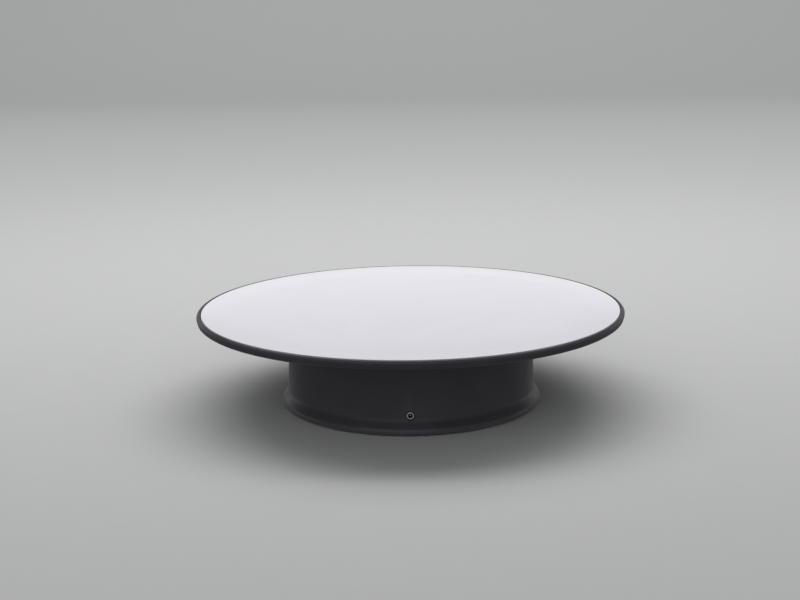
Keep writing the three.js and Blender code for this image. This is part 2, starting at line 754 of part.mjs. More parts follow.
const topDisc = () =>
  turned(
    [
      [0, PLATTER_WEB_TOP + 0.05],
      [DISC_R, PLATTER_WEB_TOP + 0.05],
      [DISC_R, STAND_HEIGHT - 0.2],
      [DISC_R - 0.2, STAND_HEIGHT],
      [0, STAND_HEIGHT],
    ],
    ROUND_BIG,
  );

function ballCage() {
  let made = ring(RACE_R - 4.5, RACE_R + 4.5, BALL_Z - 0.6, BALL_Z + 0.6, ROUND_BIG);
  for (let i = 0; i < BALL_COUNT; i += 1) {
    const place = [...polar(RACE_R, (360 * i) / BALL_COUNT), 0];
    made = cut(made, disc(BALL_R + 0.25, 48, 55, ROUND_SMALL).translate(place));
  }
  return made;
}

// ---------------------------------------------------------------- wiring

const WIRE_ROUTES = {
  wire_cell_minus: [
    [-33.8, 35, 34], [-36.3, 35, 34], [-41, 28, 30], [-40, 15.5, 24], [-32, 12.9, 21.5],
    [-18, 13.2, 20], [-6.9, 13.2, 19.5],
  ],
  wire_jack_minus: [
    [-2.4, -59.2, 11.2], [-2.4, -58, 11.2], [8, -55.5, 17], [22, -53, 18], [27, -40, 18],
    [27, -8, 20], [25, 6, 21.5], [19, 13, 22], [2, 13.8, 21.4], [-5.3, 13.2, 20.4],
  ],
  wire_motor_plus: [
    [6, 13.2, 20], [14, 13.5, 19.8], [25, 9, 18], [34, -5, 15], [37, -24, 13.5], [37, -30, 12.6],
    [37, -30, 11.3],
  ],
  wire_switch_feed: [
    [40, -30, 11.3], [40, -30, 12.6], [36.5, -47, 13.5], [24, -55.5, 13], [2.4, -58, 11.4],
    [2.4, -59.2, 11.4],
  ],
  wire_cell_plus: [
    [33.8, 35, 34], [36.3, 35, 34], [41.5, 28, 29.5], [46, 16, 20], [49.5, -6, 11], [49.5, -26, 7.4],
    [46.5, -36.5, 6.8], [36, -47, 6.8], [16, -57, 8.2], [0.2, -58, 9.9], [0, -59.2, 9.9],
  ],
};

// ---------------------------------------------------------------- assembly

const material = (color, roughness, metalness = 0) =>
  new THREE.MeshStandardMaterial({ color, roughness, metalness });
const blackPlastic = material(0x1c1c20, 0.42);
const blackSatin = material(0x222226, 0.5);
const whiteAcrylic = material(0xe6e6ee, 0.25);
const rubber = material(0x18181a, 0.9);
const steel = material(0xb8b8b8, 0.3, 1);
const brass = material(0xb59a4a, 0.35, 1);
const bronze = material(0x9a7440, 0.4, 1);
const acetal = material(0xeeeee6, 0.45);
const greyFrame = material(0x8a8d90, 0.6);
const ferrite = material(0x2c2c2e, 0.7);
const laminations = material(0x77716a, 0.5, 1);
const cellWrap = material(0x2f3338, 0.35, 0.4);
const redWire = material(0xb02020, 0.5);
const blackWire = material(0x151515, 0.5);

const UPSIDE_DOWN = [Math.PI, 0, 0];
const stand = new THREE.Group();

function add(name, made, look, position = [0, 0, 0], rotation = [0, 0, 0], parent = stand) {
  const mesh = new THREE.Mesh(geometryOf(made), look);
  mesh.name = name;
  mesh.position.set(...position);
  mesh.rotation.set(...rotation);
  parent.add(mesh);
  return mesh;
}

function addBase() {
  add("base_shell", baseShell(), blackPlastic);
  add("bottom_cover", bottomCover(), blackSatin);
  const corners = ["right", "back", "left", "front"];
  corners.forEach((corner, i) => {
    const [fx, fy] = polar(FOOT_RING_R, 90 * i);
    add(`foot_${corner}`, foot(), rubber, [fx, fy, 0]);
  });
  const quarters = ["back_right", "back_left", "front_left", "front_right"];
  quarters.forEach((quarter, i) => {
    const [sx, sy] = polar(BOSS_RING_R, BOSS_ANGLES[i]);
    add(`cover_screw_${quarter}`, screw(COVER_SCREW), steel, [sx, sy, 1.75]);
  });
}

function addPower() {
  add("battery_door", batteryDoor(), blackSatin, [0, DOOR_PIVOT.y, DOOR_PIVOT.z]);
  add("battery_cell", batteryCell(), cellWrap, [0, CELL.y, CELL.z]);
  const plateX = BAY.x - 0.25;
  add("contact_plate_minus", contactPlate(), steel, [-plateX, CELL.y, CELL.z]);
  add("contact_plate_plus", contactPlate(), steel, [plateX, CELL.y, CELL.z]);
  add("contact_spring", contactSpring(), steel, [-BAY.x + 1, CELL.y, CELL.z]);
  const jackPlace = [0, JACK_BACK_Y, JACK_Z];
  add("jack_body", jackBody(), blackSatin, jackPlace);
  add("jack_bushing", jackBushing(), steel, jackPlace);
  add("jack_pin", jackPin(), steel, jackPlace);
  add("switch_body", switchBody(), steel, [SWITCH.x, SWITCH.y, 0]);
  add("switch_slider", switchSlider(), blackSatin, [SWITCH.x - SWITCH.travel / 2, SWITCH.y, 0]);
  for (const [name, route] of Object.entries(WIRE_ROUTES)) {
    const look = name.includes("minus") ? blackWire : redWire;
    add(name, tube(route, WIRE_R, 6, route.length * 2), look);
  }
}

function addGearbox() {
  add("gearbox_lower", gearboxLower(), greyFrame);
  add("gearbox_upper", gearboxUpper(), greyFrame);
  const screwTop = FRAME_UPPER.z1 + FRAME_SCREW.headHeight + 0.05;
  POSTS.forEach(([x, y], i) => {
    add(`gearbox_screw_${i + 1}`, screw(FRAME_SCREW), steel, [x, y, screwTop], UPSIDE_DOWN);
  });
  const place1 = [AXLE_1.x, AXLE_1.y, 0];
  const place2 = [AXLE_2.x, AXLE_2.y, 0];
  add("axle_1", disc(AXLE_R, 5.3, FRAME_UPPER.z1 - 0.2, ROUND_TINY), steel, place1);
  add("axle_2", disc(AXLE_R, 5.3, PINION_2.z1 + 0.3, ROUND_TINY), steel, place2);
  add("spindle_bush", spindleBush(), bronze);
  add("compound_gear_1", compoundGear1(), acetal, place1);
  add("compound_gear_2", compoundGear2(), acetal, place2);
}

function addMotor() {
  const motor = new THREE.Group();
  motor.position.set(0, 0, MOTOR_Z);
  motor.rotation.set(-Math.PI / 2, 0, 0);
  stand.add(motor);
  const middle = [0, 0, 0];
  const addPart = (name, made, look, place = middle, rotation = middle) =>
    add(name, made, look, place, rotation, motor);
  addPart("motor_can", motorCan(), steel);
  addPart("motor_end_cap", motorEndCap(), blackSatin);
  addPart("motor_magnet_right", motorMagnet(), ferrite);
  addPart("motor_magnet_left", motorMagnet(), ferrite, middle, [0, 0, Math.PI]);
  addPart("motor_terminal_plus", motorTerminal(), brass, [TERMINAL_X, 0, 0]);
  addPart("motor_terminal_minus", motorTerminal(), brass, [-TERMINAL_X, 0, 0]);
  addPart("motor_shaft", motorShaft(), steel);
  addPart("motor_rotor", motorRotor(), laminations);
  addPart("worm", worm(), brass, [0, 0, WORM_Y]);
}

function addTurntable() {
  add("final_gear", finalGear(), acetal);
  add("spindle", spindle(), steel);
  add("platter", platter(), blackPlastic);
  const screwTop = SCREW_SEAT + PLATTER_SCREW.headHeight + 0.05;
  add("platter_screw", screw(PLATTER_SCREW), steel, [0, 0, screwTop], UPSIDE_DOWN);
  add("top_disc", topDisc(), whiteAcrylic);
  add("ball_cage", ballCage(), acetal);
  for (let i = 0; i < BALL_COUNT; i += 1) {
    const [x, y] = polar(RACE_R, (360 * i) / BALL_COUNT);
    const ball = solid(new THREE.SphereGeometry(BALL_R, ROUND_TINY, 6));
    add(`ball_${i + 1}`, ball, steel, [x, y, BALL_Z]);
  }
}

addBase();
addPower();
addGearbox();
addMotor();
addTurntable();

export default stand;
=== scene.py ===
import json
import math

import bmesh
import bpy
from mathutils import Matrix, Vector


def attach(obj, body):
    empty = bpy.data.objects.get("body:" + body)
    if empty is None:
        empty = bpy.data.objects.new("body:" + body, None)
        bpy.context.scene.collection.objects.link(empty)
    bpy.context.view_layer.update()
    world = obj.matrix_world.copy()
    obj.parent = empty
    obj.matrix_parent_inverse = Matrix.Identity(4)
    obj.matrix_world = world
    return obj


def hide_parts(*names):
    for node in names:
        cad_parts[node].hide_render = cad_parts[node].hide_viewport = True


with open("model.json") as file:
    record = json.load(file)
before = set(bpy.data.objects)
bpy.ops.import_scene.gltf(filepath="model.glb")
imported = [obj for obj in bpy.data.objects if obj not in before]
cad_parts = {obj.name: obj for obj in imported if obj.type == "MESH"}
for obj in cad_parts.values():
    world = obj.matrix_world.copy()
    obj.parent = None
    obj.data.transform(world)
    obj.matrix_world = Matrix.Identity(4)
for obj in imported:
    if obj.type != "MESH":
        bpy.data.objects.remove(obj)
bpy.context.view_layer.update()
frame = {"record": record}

# Visual model of a motorised display turntable. Shapes are built in millimetres in the CAD
# frame and are scaled to metres when a piece is finished.

MM = 0.001

# ------------------------------------------------------------------ CAD dimensions, mm
TOP = 57.0  # top of the white disc
PLATTER_R, DISC_R = 127.0, 124.3
WEB_TOP, WEB_UNDER = 55.2, 53.2  # the platter's thin plate
HUB_UNDER, HUB_SEAT, HUB_BORE = 50.9, 54.0, 3.75
DRUM_TOP, DRUM_TOP_R, DRUM_FOOT_R, WALL = 52.6, 73.2, 73.9, 2.4
DECK_TOP, DECK_BOTTOM, DECK_HOLE_R = 50.0, 47.6, 6.7  # the plate that closes the drum
FLANGE_R, FLANGE_BOTTOM, FLARE_TOP = 77.75, 1.2, 9.0
FLARE = ((77.2, 4.2), (76.1, 5.7), (74.95, 7.3))  # (radius, z) between the flange and the drum
COVER_R, COVER_BOTTOM, COVER_TOP = 74.8, 1.6, 3.8
FOOT_R, FOOT_TOP = 6.0, 2.0
RING_R = 64.0  # feet and cover screws stand on this circle
RACE_R, BALL_R, BALL_Z, GROOVE_R, BALLS = 62.0, 2.0, 51.6, 2.35, 6
BAY_X, BAY_Y0, BAY_Y1, BAY_TOP, BAY_WALL = 33.5, 17.2, 52.8, 39.8, 1.6
DOOR_X, DOOR_Y0, DOOR_Y1, DOOR_TOP = 32.1, 18.0, 51.7, 3.4
DOOR_TAB_X, DOOR_TAB_HALF = 17.0, 3.0  # the hinge tabs' places and half their width
DOOR_PIVOT_Y, DOOR_PIVOT_Z = 52.0, 1.9
SWITCH_X, SWITCH_Y, SWITCH_TRAVEL = 40.0, -30.0, 4.0
JACK_Z, JACK_BACK_Y, JACK_MOUTH = 11.2, -60.5, 13.25  # the mouth is measured from the back
LUG_X = 2.4  # from the middle lug of the jack to the next
CELL_Y, CELL_Z, WIRE_HOLE_Z = 35.0, 20.6, 34.0
MOTOR_Z, MOTOR_R = 20.0, 12.0
SHAFT_R, SHAFT_BORE = 1.0, 1.15
WORM_Y, WORM_R, WORM_CREST_R = -34.0, 2.9, 4.7
FINE_MODULE, COARSE_MODULE = 0.8, 1.0
WORM_LEAD = math.pi * FINE_MODULE
WORM_WHEEL, PINION_1, WHEEL_2, PINION_2, FINAL_WHEEL = 30, 10, 40, 12, 60  # numbers of teeth
WORM_BACKLASH, FINE_BACKLASH, COARSE_BACKLASH = 0.45, 0.16, 0.18
AXLE_R, AXLE_HOLE, GEAR_BORE = 1.5, 1.65, 1.7
AXLE_1 = Vector((-16.0, WORM_Y))
POSTS = [(-36, -48), (16, -48), (16, 8), (-36, 8)]
POST_R = 3.0
FRAME_CORNER = 2.5
FRAME_OUTLINE = [(-40, -52, FRAME_CORNER), (20, -52, FRAME_CORNER), (20, 11.5, FRAME_CORNER),
                 (-40, 11.5, FRAME_CORNER)]
LOWER_FRAME, UPPER_FRAME = (5.05, 7), (33, 35)  # bottom and top of the gearbox plates
SPINDLE_R, SPINDLE_NECK_R = 4.0, 2.5


def mesh_point(axle, r, big_r):
    """The point at distance r from an axle and distance big_r from the origin, on its left."""
    d = axle.length
    along = (big_r * big_r - r * r + d * d) / (2 * d)
    across = math.sqrt(big_r * big_r - along * along)
    return Vector((axle.x * along + axle.y * across, axle.y * along - axle.x * across)) / d


AXLE_2 = mesh_point(AXLE_1, FINE_MODULE * (PINION_1 + WHEEL_2) / 2,
                    COARSE_MODULE * (PINION_2 + FINAL_WHEEL) / 2)
TO_AXLE_2 = math.atan2(AXLE_2.y - AXLE_1.y, AXLE_2.x - AXLE_1.x)  # seen from axle 1
TO_FINAL = math.atan2(-AXLE_2.y, -AXLE_2.x)  # from axle 2 to the spindle at the origin

FINE, MEDIUM, COARSE = 224, 96, 48  # segments of a big round, a middling one, a small one
RIM = FINE + 32  # segments of the platter and its disc
FILLET_STEPS = 4


# ------------------------------------------------------------------ solids in millimetres
def linked(bm):
    """Turns mesh data into an object of the scene."""
    mesh = bpy.data.meshes.new("solid")
    bm.to_mesh(mesh)
    bm.free()
    obj = bpy.data.objects.new("solid", mesh)
    bpy.context.scene.collection.objects.link(obj)
    return obj


def rounded(profile, steps):
    """The points of a closed outline of (x, y) or (x, y, fillet) corners, its fillets drawn."""
    corners = [tuple(c) + (0.0,) * (3 - len(c)) for c in profile]
    points = []
    for i, (x, y, fillet) in enumerate(corners):
        corner = Vector((x, y))
        if fillet <= 0:
            points.append(corner)
            continue
        to_last = Vector(corners[i - 1][:2]) - corner
        to_next = Vector(corners[(i + 1) % len(corners)][:2]) - corner
        reach = fillet / math.tan(to_last.angle(to_next) / 2)
        reach = min(reach, 0.49 * to_last.length, 0.49 * to_next.length)
        start = corner + to_last.normalized() * reach
        end = corner + to_next.normalized() * reach
        for k in range(steps + 1):
            t = k / steps
            points.append(start * (1 - t) ** 2 + corner * 2 * t * (1 - t) + end * t * t)
    return points


def signed_area(points):
    """The area of an outline, which is above zero where it runs anticlockwise."""
    pairs = zip(points, points[1:] + points[:1])
    return sum(a[0] * b[1] - b[0] * a[1] for a, b in pairs) / 2


def lathe(profile, segments=MEDIUM, steps=FILLET_STEPS):
    """Turns a closed (radius, z, fillet) cross-section about the Z axis."""
    points = rounded(profile, steps)
    if signed_area(points) < 0:
        points.reverse()
    bm = bmesh.new()
    angles = [2 * math.pi * j / segments for j in range(segments)]
    rings = []
    for r, z in points:
        if r < 1e-6:
            rings.append([bm.verts.new((0, 0, z))])
        else:
            rings.append([bm.verts.new((r * math.cos(a), r * math.sin(a), z)) for a in angles])
    for low, high in zip(rings, rings[1:] + rings[:1]):
        for j in range(segments):
            k = (j + 1) % segments
            ends = [low[j % len(low)], low[k % len(low)], high[k % len(high)], high[j % len(high)]]
            face = list(dict.fromkeys(ends))
            if len(face) > 2:
                bm.faces.new(face)
    return linked(bm)


def rod(r, z0, z1, segments=COARSE, soft=0.0):
    return lathe([(0, z0), (r, z0, soft), (r, z1, soft), (0, z1)], segments)


def prism(outline, z0, z1):
    """Raises a flat outline of (x, y) or (x, y, fillet) corners from z0 to z1."""
    points = rounded(outline, FILLET_STEPS)
    if signed_area(points) < 0:
        points.reverse()
    bm = bmesh.new()
    low = [bm.verts.new((x, y, z0)) for x, y in points]
    high = [bm.verts.new((x, y, z1)) for x, y in points]
    bm.faces.new(low[::-1])
    bm.faces.new(high)
    for i in range(len(points)):
        j = (i + 1) % len(points)
        bm.faces.new((low[i], low[j], high[j], high[i]))
    return linked(bm)


def slab(x0, x1, y0, y1, z0, z1, soft=0.0):
    """A box whose edges are all rounded by soft."""
    bm = bmesh.new()
    bmesh.ops.create_cube(bm, size=1)
    size = Vector((x1 - x0, y1 - y0, z1 - z0))
    middle = Vector((x0 + x1, y0 + y1, z0 + z1)) / 2
    for v in bm.verts:
        v.co = v.co * size + middle
    if soft > 0:
        bmesh.ops.bevel(bm, geom=bm.edges[:], offset=soft, segments=3, profile=0.5,
                        affect="EDGES", clamp_overlap=True)
    return linked(bm)


def tray(x0, x1, y0, y1, z0, z1, corner):
    """A plate with rounded corners seen from above."""
    return prism([(x0, y0, corner), (x1, y0, corner), (x1, y1, corner), (x0, y1, corner)], z0, z1)


def skinned(bm, rings):
    """Closes a row of rings of points, each joined to the next, into a solid."""
    count = len(rings[0])
    for low, high in zip(rings, rings[1:]):
        for j in range(count):
            k = (j + 1) % count
            bm.faces.new((low[j], low[k], high[k], high[j]))
    bm.faces.new(rings[0][::-1])
    bm.faces.new(rings[-1])
    bmesh.ops.recalc_face_normals(bm, faces=bm.faces[:])
    return linked(bm)


def sweep(path, section):
    """Carries a ring of points down a path, without twist."""
    bm = bmesh.new()
    tangents = []
    for i in range(len(path)):
        tangents.append((path[min(i + 1, len(path) - 1)] - path[max(i - 1, 0)]).normalized())
    normal = tangents[0].orthogonal().normalized()
    rings = []
    for i, (centre, tangent) in enumerate(zip(path, tangents)):
        if i:
            normal = tangents[i - 1].rotation_difference(tangent) @ normal
        side = tangent.cross(normal)
        rings.append([bm.verts.new(centre + normal * a + side * b) for a, b in section])
    return skinned(bm, rings)


def circle(r, count):
    """The points of a flat ring."""
    return [(r * math.cos(2 * math.pi * i / count), r * math.sin(2 * math.pi * i / count))
            for i in range(count)]


def moved(obj, x=0.0, y=0.0, z=0.0):
    obj.data.transform(Matrix.Translation((x, y, z)))
    return obj


def turned(obj, degrees, axis="Z"):
    obj.data.transform(Matrix.Rotation(math.radians(degrees), 4, axis))
    return obj


def along_x(obj):
    """Lays a solid that was built along Z down along X."""
    return turned(obj, 90, "Y")


def along_y(obj):
    """Lays a solid that was built along Z down along Y."""
    return turned(obj, -90, "X")


def upright(obj):
    """Stands an outline drawn in X and Y up in Y and Z."""
    obj.data.transform(Matrix(((0, 0, 1, 0), (1, 0, 0, 0), (0, 1, 0, 0), (0, 0, 0, 1))))
    return obj


def combine(obj, operation, tools):
    """Applies each tool to a solid in turn, and removes the tools."""
    for tool in tools:
        step = obj.modifiers.new("combine", "BOOLEAN")
        step.operation = operation
        step.solver = "MANIFOLD"
        step.object = tool
    bpy.context.view_layer.update()
    graph = bpy.context.evaluated_depsgraph_get()
    made = bpy.data.meshes.new_from_object(obj.evaluated_get(graph))
    obj.modifiers.clear()
    obj.data = made
    for tool in tools:
        bpy.data.objects.remove(tool)
    return obj


def cut(obj, *tools):
    return combine(obj, "DIFFERENCE", tools)


def join(obj, *tools):
    return combine(obj, "UNION", tools)


def polar(r, degrees):
    return r * math.cos(math.radians(degrees)), r * math.sin(math.radians(degrees))


# ------------------------------------------------------------------ materials
PATCH_SCALE, ROUGH_SCALE = 45.0, 120.0  # noise cells in a metre
WORN_FROM, WORN_TO = 0.505, 0.56  # how pointed an edge is where wear starts and is full


def noise(tree, coordinates, scale, detail, stretch):
    made = tree.nodes.new("ShaderNodeTexNoise")
    made.inputs["Scale"].default_value = scale
    made.inputs["Detail"].default_value = detail
    if stretch:
        mapping = tree.nodes.new("ShaderNodeMapping")
        mapping.inputs["Scale"].default_value = stretch
        tree.links.new(coordinates, mapping.inputs["Vector"])
        coordinates = mapping.outputs["Vector"]
    tree.links.new(coordinates, made.inputs["Vector"])
    return made.outputs["Fac"]


def spread(tree, value, low, high, start=0.3, end=0.7):
    """Maps a noise value onto low to high."""
    made = tree.nodes.new("ShaderNodeMapRange")
    made.inputs["From Min"].default_value = start
    made.inputs["From Max"].default_value = end
    made.inputs["To Min"].default_value = low
    made.inputs["To Max"].default_value = high
    tree.links.new(value, made.inputs["Value"])
    return made.outputs["Result"]


def finish_look(name, color, roughness, metallic=0.0, grain=0.1, grain_size=0.35, mottle=0.08,
                vary=0.08, wear=0.0, stretch=None, specular=0.5, coat=0.0, sheen=0.0):
    """One procedural finish. Grain size is in mm, and mottle, vary and wear are shares."""
    made = bpy.data.materials.new(name)
    made.use_nodes = True
    tree = made.node_tree
    shader = tree.nodes["Principled BSDF"]
    coordinates = tree.nodes.new("ShaderNodeTexCoord").outputs["Object"]

    patches = noise(tree, coordinates, PATCH_SCALE, 5.0, stretch)
    patches = spread(tree, patches, 1 - mottle, 1 + mottle)
    tint = tree.nodes.new("ShaderNodeMix")
    tint.data_type = "RGBA"
    tint.blend_type = "MULTIPLY"
    tint.inputs["Factor"].default_value = 1.0
    tint.inputs["A"].default_value = (*color, 1)
    tree.links.new(patches, tint.inputs["B"])
    shade = tint.outputs["Result"]
    if wear:
        edges = spread(tree, tree.nodes.new("ShaderNodeNewGeometry").outputs["Pointiness"],
                       0.0, wear, WORN_FROM, WORN_TO)
        rub = tree.nodes.new("ShaderNodeMix")
        rub.data_type = "RGBA"
        tree.links.new(edges, rub.inputs["Factor"])
        tree.links.new(shade, rub.inputs["A"])
        rub.inputs["B"].default_value = (*[min(1.0, 0.12 + c * 1.6) for c in color], 1)
        shade = rub.outputs["Result"]
    tree.links.new(shade, shader.inputs["Base Color"])

    rough = noise(tree, coordinates, ROUGH_SCALE, 6.0, stretch)
    tree.links.new(spread(tree, rough, roughness * (1 - vary), roughness * (1 + vary)),
                   shader.inputs["Roughness"])
    bump = tree.nodes.new("ShaderNodeBump")
    bump.inputs["Strength"].default_value = grain
    bump.inputs["Distance"].default_value = grain_size * MM * 0.3
    grains = noise(tree, coordinates, 1 / (2 * grain_size * MM), 2.0, stretch)
    tree.links.new(grains, bump.inputs["Height"])
    tree.links.new(bump.outputs["Normal"], shader.inputs["Normal"])
    shader.inputs["Metallic"].default_value = metallic
    shader.inputs["Specular IOR Level"].default_value = specular
    shader.inputs["Coat Weight"].default_value = coat
    shader.inputs["Coat Roughness"].default_value = 0.2
    shader.inputs["Sheen Weight"].default_value = sheen
    return made


FINISHES = {
    "black_case": dict(color=(0.038, 0.038, 0.046), roughness=0.35, grain=0.06, grain_size=0.3,
                       mottle=0.12, vary=0.12, wear=0.1, specular=0.29),
    "black_cover": dict(color=(0.026, 0.026, 0.029), roughness=0.5, grain=0.3, grain_size=0.5,
                        mottle=0.15, vary=0.1, wear=0.15),
    "white_disc": dict(color=(0.83, 0.825, 0.88), roughness=0.17, grain=0.05, grain_size=0.9,
                       mottle=0.012, vary=0.1),
    "rubber": dict(color=(0.018, 0.018, 0.018), roughness=0.82, grain=0.5, grain_size=0.25,
                   mottle=0.2, sheen=0.15),
    "steel": dict(color=(0.62, 0.62, 0.61), roughness=0.27, metallic=1.0, grain=0.12,
                  grain_size=0.2, vary=0.25),
    "dull_nickel": dict(color=(0.3, 0.3, 0.31), roughness=0.24, metallic=1.0, grain=0.1,
                        grain_size=0.15, mottle=0.12, vary=0.3),
    "motor_steel": dict(color=(0.52, 0.53, 0.54), roughness=0.36, metallic=1.0, grain=0.15,
                        grain_size=0.2, mottle=0.1, vary=0.2, stretch=(1, 0.08, 1)),
    "brass": dict(color=(0.71, 0.52, 0.22), roughness=0.3, metallic=1.0, grain=0.12,
                  grain_size=0.15, mottle=0.1, vary=0.25),
    "bronze": dict(color=(0.42, 0.26, 0.13), roughness=0.46, metallic=1.0, grain=0.4,
                   grain_size=0.2, mottle=0.18, vary=0.15),
    "acetal": dict(color=(0.80, 0.79, 0.74), roughness=0.42, grain=0.08, grain_size=0.3,
                   mottle=0.03, vary=0.1),
    "grey_frame": dict(color=(0.25, 0.26, 0.27), roughness=0.58, grain=0.35, vary=0.1),
    "ferrite": dict(color=(0.03, 0.03, 0.032), roughness=0.65, grain=0.6, grain_size=0.3,
                    mottle=0.2),
    "laminations": dict(color=(0.28, 0.26, 0.24), roughness=0.45, metallic=1.0, grain=0.5,
                        grain_size=0.5, mottle=0.15, stretch=(0.1, 1, 0.1)),
    "cell_jacket": dict(color=(0.03, 0.032, 0.038), roughness=0.28, metallic=0.3, grain=0.05,
                        grain_size=0.5, coat=0.4),
    "red_wire": dict(color=(0.42, 0.02, 0.02), roughness=0.4, grain=0.08),
    "black_wire": dict(color=(0.012, 0.012, 0.012), roughness=0.4, grain=0.08, mottle=0.1),
}
LOOKS = {name: finish_look(name, **finish) for name, finish in FINISHES.items()}
SLOT_OF = {s["node"]: s["material_slot"] for s in frame["record"]["subparts"]}
BODY_OF = {n: b for b, names in frame["record"]["behaviour"]["bodies"].items() for n in names}


# ------------------------------------------------------------------ pieces
def soften(obj, width):
    """Rounds the sharp edges by width mm."""
    bevel = obj.modifiers.new("edge_rounding", "BEVEL")
    bevel.width = width * MM
    bevel.segments = 2
    bevel.limit_method = "ANGLE"
    bevel.angle_limit = math.radians(35)
    bevel.harden_normals = True
    bevel.use_clamp_overlap = True


def piece(node_name, obj, bevel=0.0, angle=32.0, look=None):
    """Finishes a solid as the visible form of the CAD node of that name.

    Edges bent by more than angle degrees are drawn sharp.
    """
    obj.name = obj.data.name = node_name + "_form"
    obj.data.transform(Matrix.Scale(MM, 4))
    obj.data.shade_smooth()
    obj.data.set_sharp_from_angle(angle=math.radians(angle))
    obj.data.materials.clear()
    obj.data.materials.append(LOOKS[look or SLOT_OF[node_name]])
    if bevel:
        soften(obj, bevel)
    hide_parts(node_name)
    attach(obj, BODY_OF[node_name])


def race_ring():
    """The ring that cuts the balls' groove."""
    return lathe([(RACE_R + a, BALL_Z + b) for a, b in circle(GROOVE_R, 24)], FINE)


def drum_r(z):
    """Outer radius of the drum wall, which has a small draft."""
    share = (z - FLARE_TOP) / (DRUM_TOP - FLARE_TOP)
    return DRUM_FOOT_R + (DRUM_TOP_R - DRUM_FOOT_R) * share


def base_shell():
    """The drum, with its flared foot, screw bosses, gussets and the ribs under its deck."""
    inner = DRUM_TOP_R - WALL
    above_jack = JACK_Z + 3  # keeps the faces round the jack's hole low and even
    shell = lathe(
        [
            (COVER_R + 0.3, FLANGE_BOTTOM, 0.15),
            (FLANGE_R, FLANGE_BOTTOM, 0.4),
            (FLANGE_R, 2.7, 0.9),
            *[(r, z, 0.9) for r, z in FLARE],
            (DRUM_FOOT_R, FLARE_TOP, 1.2),
            (drum_r(above_jack), above_jack),
            (DRUM_TOP_R, DRUM_TOP, 0.45),
            (inner + 0.6, DRUM_TOP, 0.3),
            (inner + 0.4, DECK_TOP, 0.3),
            (DECK_HOLE_R, DECK_TOP),
            (DECK_HOLE_R, DECK_BOTTOM),
            (inner, DECK_BOTTOM, 0.6),
            (inner + 0.4, COVER_TOP + 0.3, 0.2),
            (COVER_R + 0.3, COVER_TOP + 0.3),
        ],
        FINE,
    )
    added, removed = [], [race_ring()]
    for degrees in (45, 135, 225, 315):
        x, y = polar(RING_R, degrees)
        added.append(moved(rod(4, COVER_TOP + 0.2, DECK_BOTTOM + 0.5), x, y))
        gusset = slab(RING_R + 2, inner + 1, -0.9, 0.9, COVER_TOP + 0.5, DECK_BOTTOM + 0.5)
        added.append(turned(gusset, degrees))
        removed.append(moved(rod(1.35, COVER_TOP, 16, 24), x, y))
    for degrees in range(15, 360, 30):
        rib = slab(47, inner + 1, -0.7, 0.7, DECK_BOTTOM - 1.6, DECK_BOTTOM + 0.4)
        added.append(turned(rib, degrees))
    hole = lathe([(0, -80), (2.8, -80), (2.8, -73.6), (2.5, -73.3), (2.5, -65), (0, -65)])
    removed.append(moved(along_y(hole), 0, 0, JACK_Z))
    return cut(join(shell, *added), *removed)


def bottom_cover():
    """The round cover, with the battery bay, its openings and a groove round its edge."""
    wall = BAY_WALL
    plate = lathe([(0, COVER_BOTTOM), (COVER_R, COVER_BOTTOM, 0.4), (COVER_R, COVER_TOP, 0.2),
                   (0, COVER_TOP)], FINE)
    root = COVER_TOP - 0.5  # what stands on the cover starts inside it
    added = [tray(-BAY_X - wall, BAY_X + wall, BAY_Y0 - wall, BAY_Y1 + wall, root,
                  BAY_TOP + wall, 1.2)]
    for x, y in POSTS:
        added.append(moved(rod(POST_R, root, 5, 32), x, y))
    jack_shelf = slab(-5, 5, -70, -61, root, JACK_Z - 3.6)
    added.append(jack_shelf)

    above = COVER_TOP + 1
    bay = tray(-BAY_X, BAY_X, BAY_Y0, BAY_Y1, COVER_TOP, BAY_TOP, 0.8)
    door_opening = tray(-32.5, 32.5, 17.6, 52.4, 0, above, 0.5)
    latch_notch = slab(-6, 6, 15.9, DOOR_Y0, 0, DOOR_TOP)
    wire_hole = moved(along_x(rod(1.5, -BAY_X - 5, BAY_X + 5, 24)), 0, CELL_Y, WIRE_HOLE_Z)
    switch_slot = slab(SWITCH_X - 4.4, SWITCH_X + 4.4, SWITCH_Y - 2.2, SWITCH_Y + 2.2, 0, above)
    groove_top = COVER_BOTTOM + 0.35
    groove = lathe([(70, 0), (70.8, 0), (70.8, groove_top), (70, groove_top)], FINE)
    removed = [bay, door_opening, wire_hole, latch_notch, switch_slot, groove]
    half = DOOR_TAB_HALF + 0.5
    for x in (-DOOR_TAB_X, DOOR_TAB_X):
        removed.append(slab(x - half, x + half, DOOR_PIVOT_Y, 53.3, 0, 3.3))
    for degrees in (45, 135, 225, 315):
        screw_place = polar(RING_R, degrees)
        sink = lathe([(0, 0), (3.7, 0), (3.7, COVER_BOTTOM), (3.4, COVER_BOTTOM + 0.3),
                      (3.4, 2.9), (0, 2.9)], COARSE)
        removed.append(moved(rod(1.6, 0, 6, 32), *screw_place))
        removed.append(moved(sink, *screw_place))
        foot_place = polar(RING_R, degrees - 45)
        removed.append(moved(rod(FOOT_R + 0.3, 0, FOOT_TOP, 64), *foot_place))
    return cut(join(plate, *added), *removed)


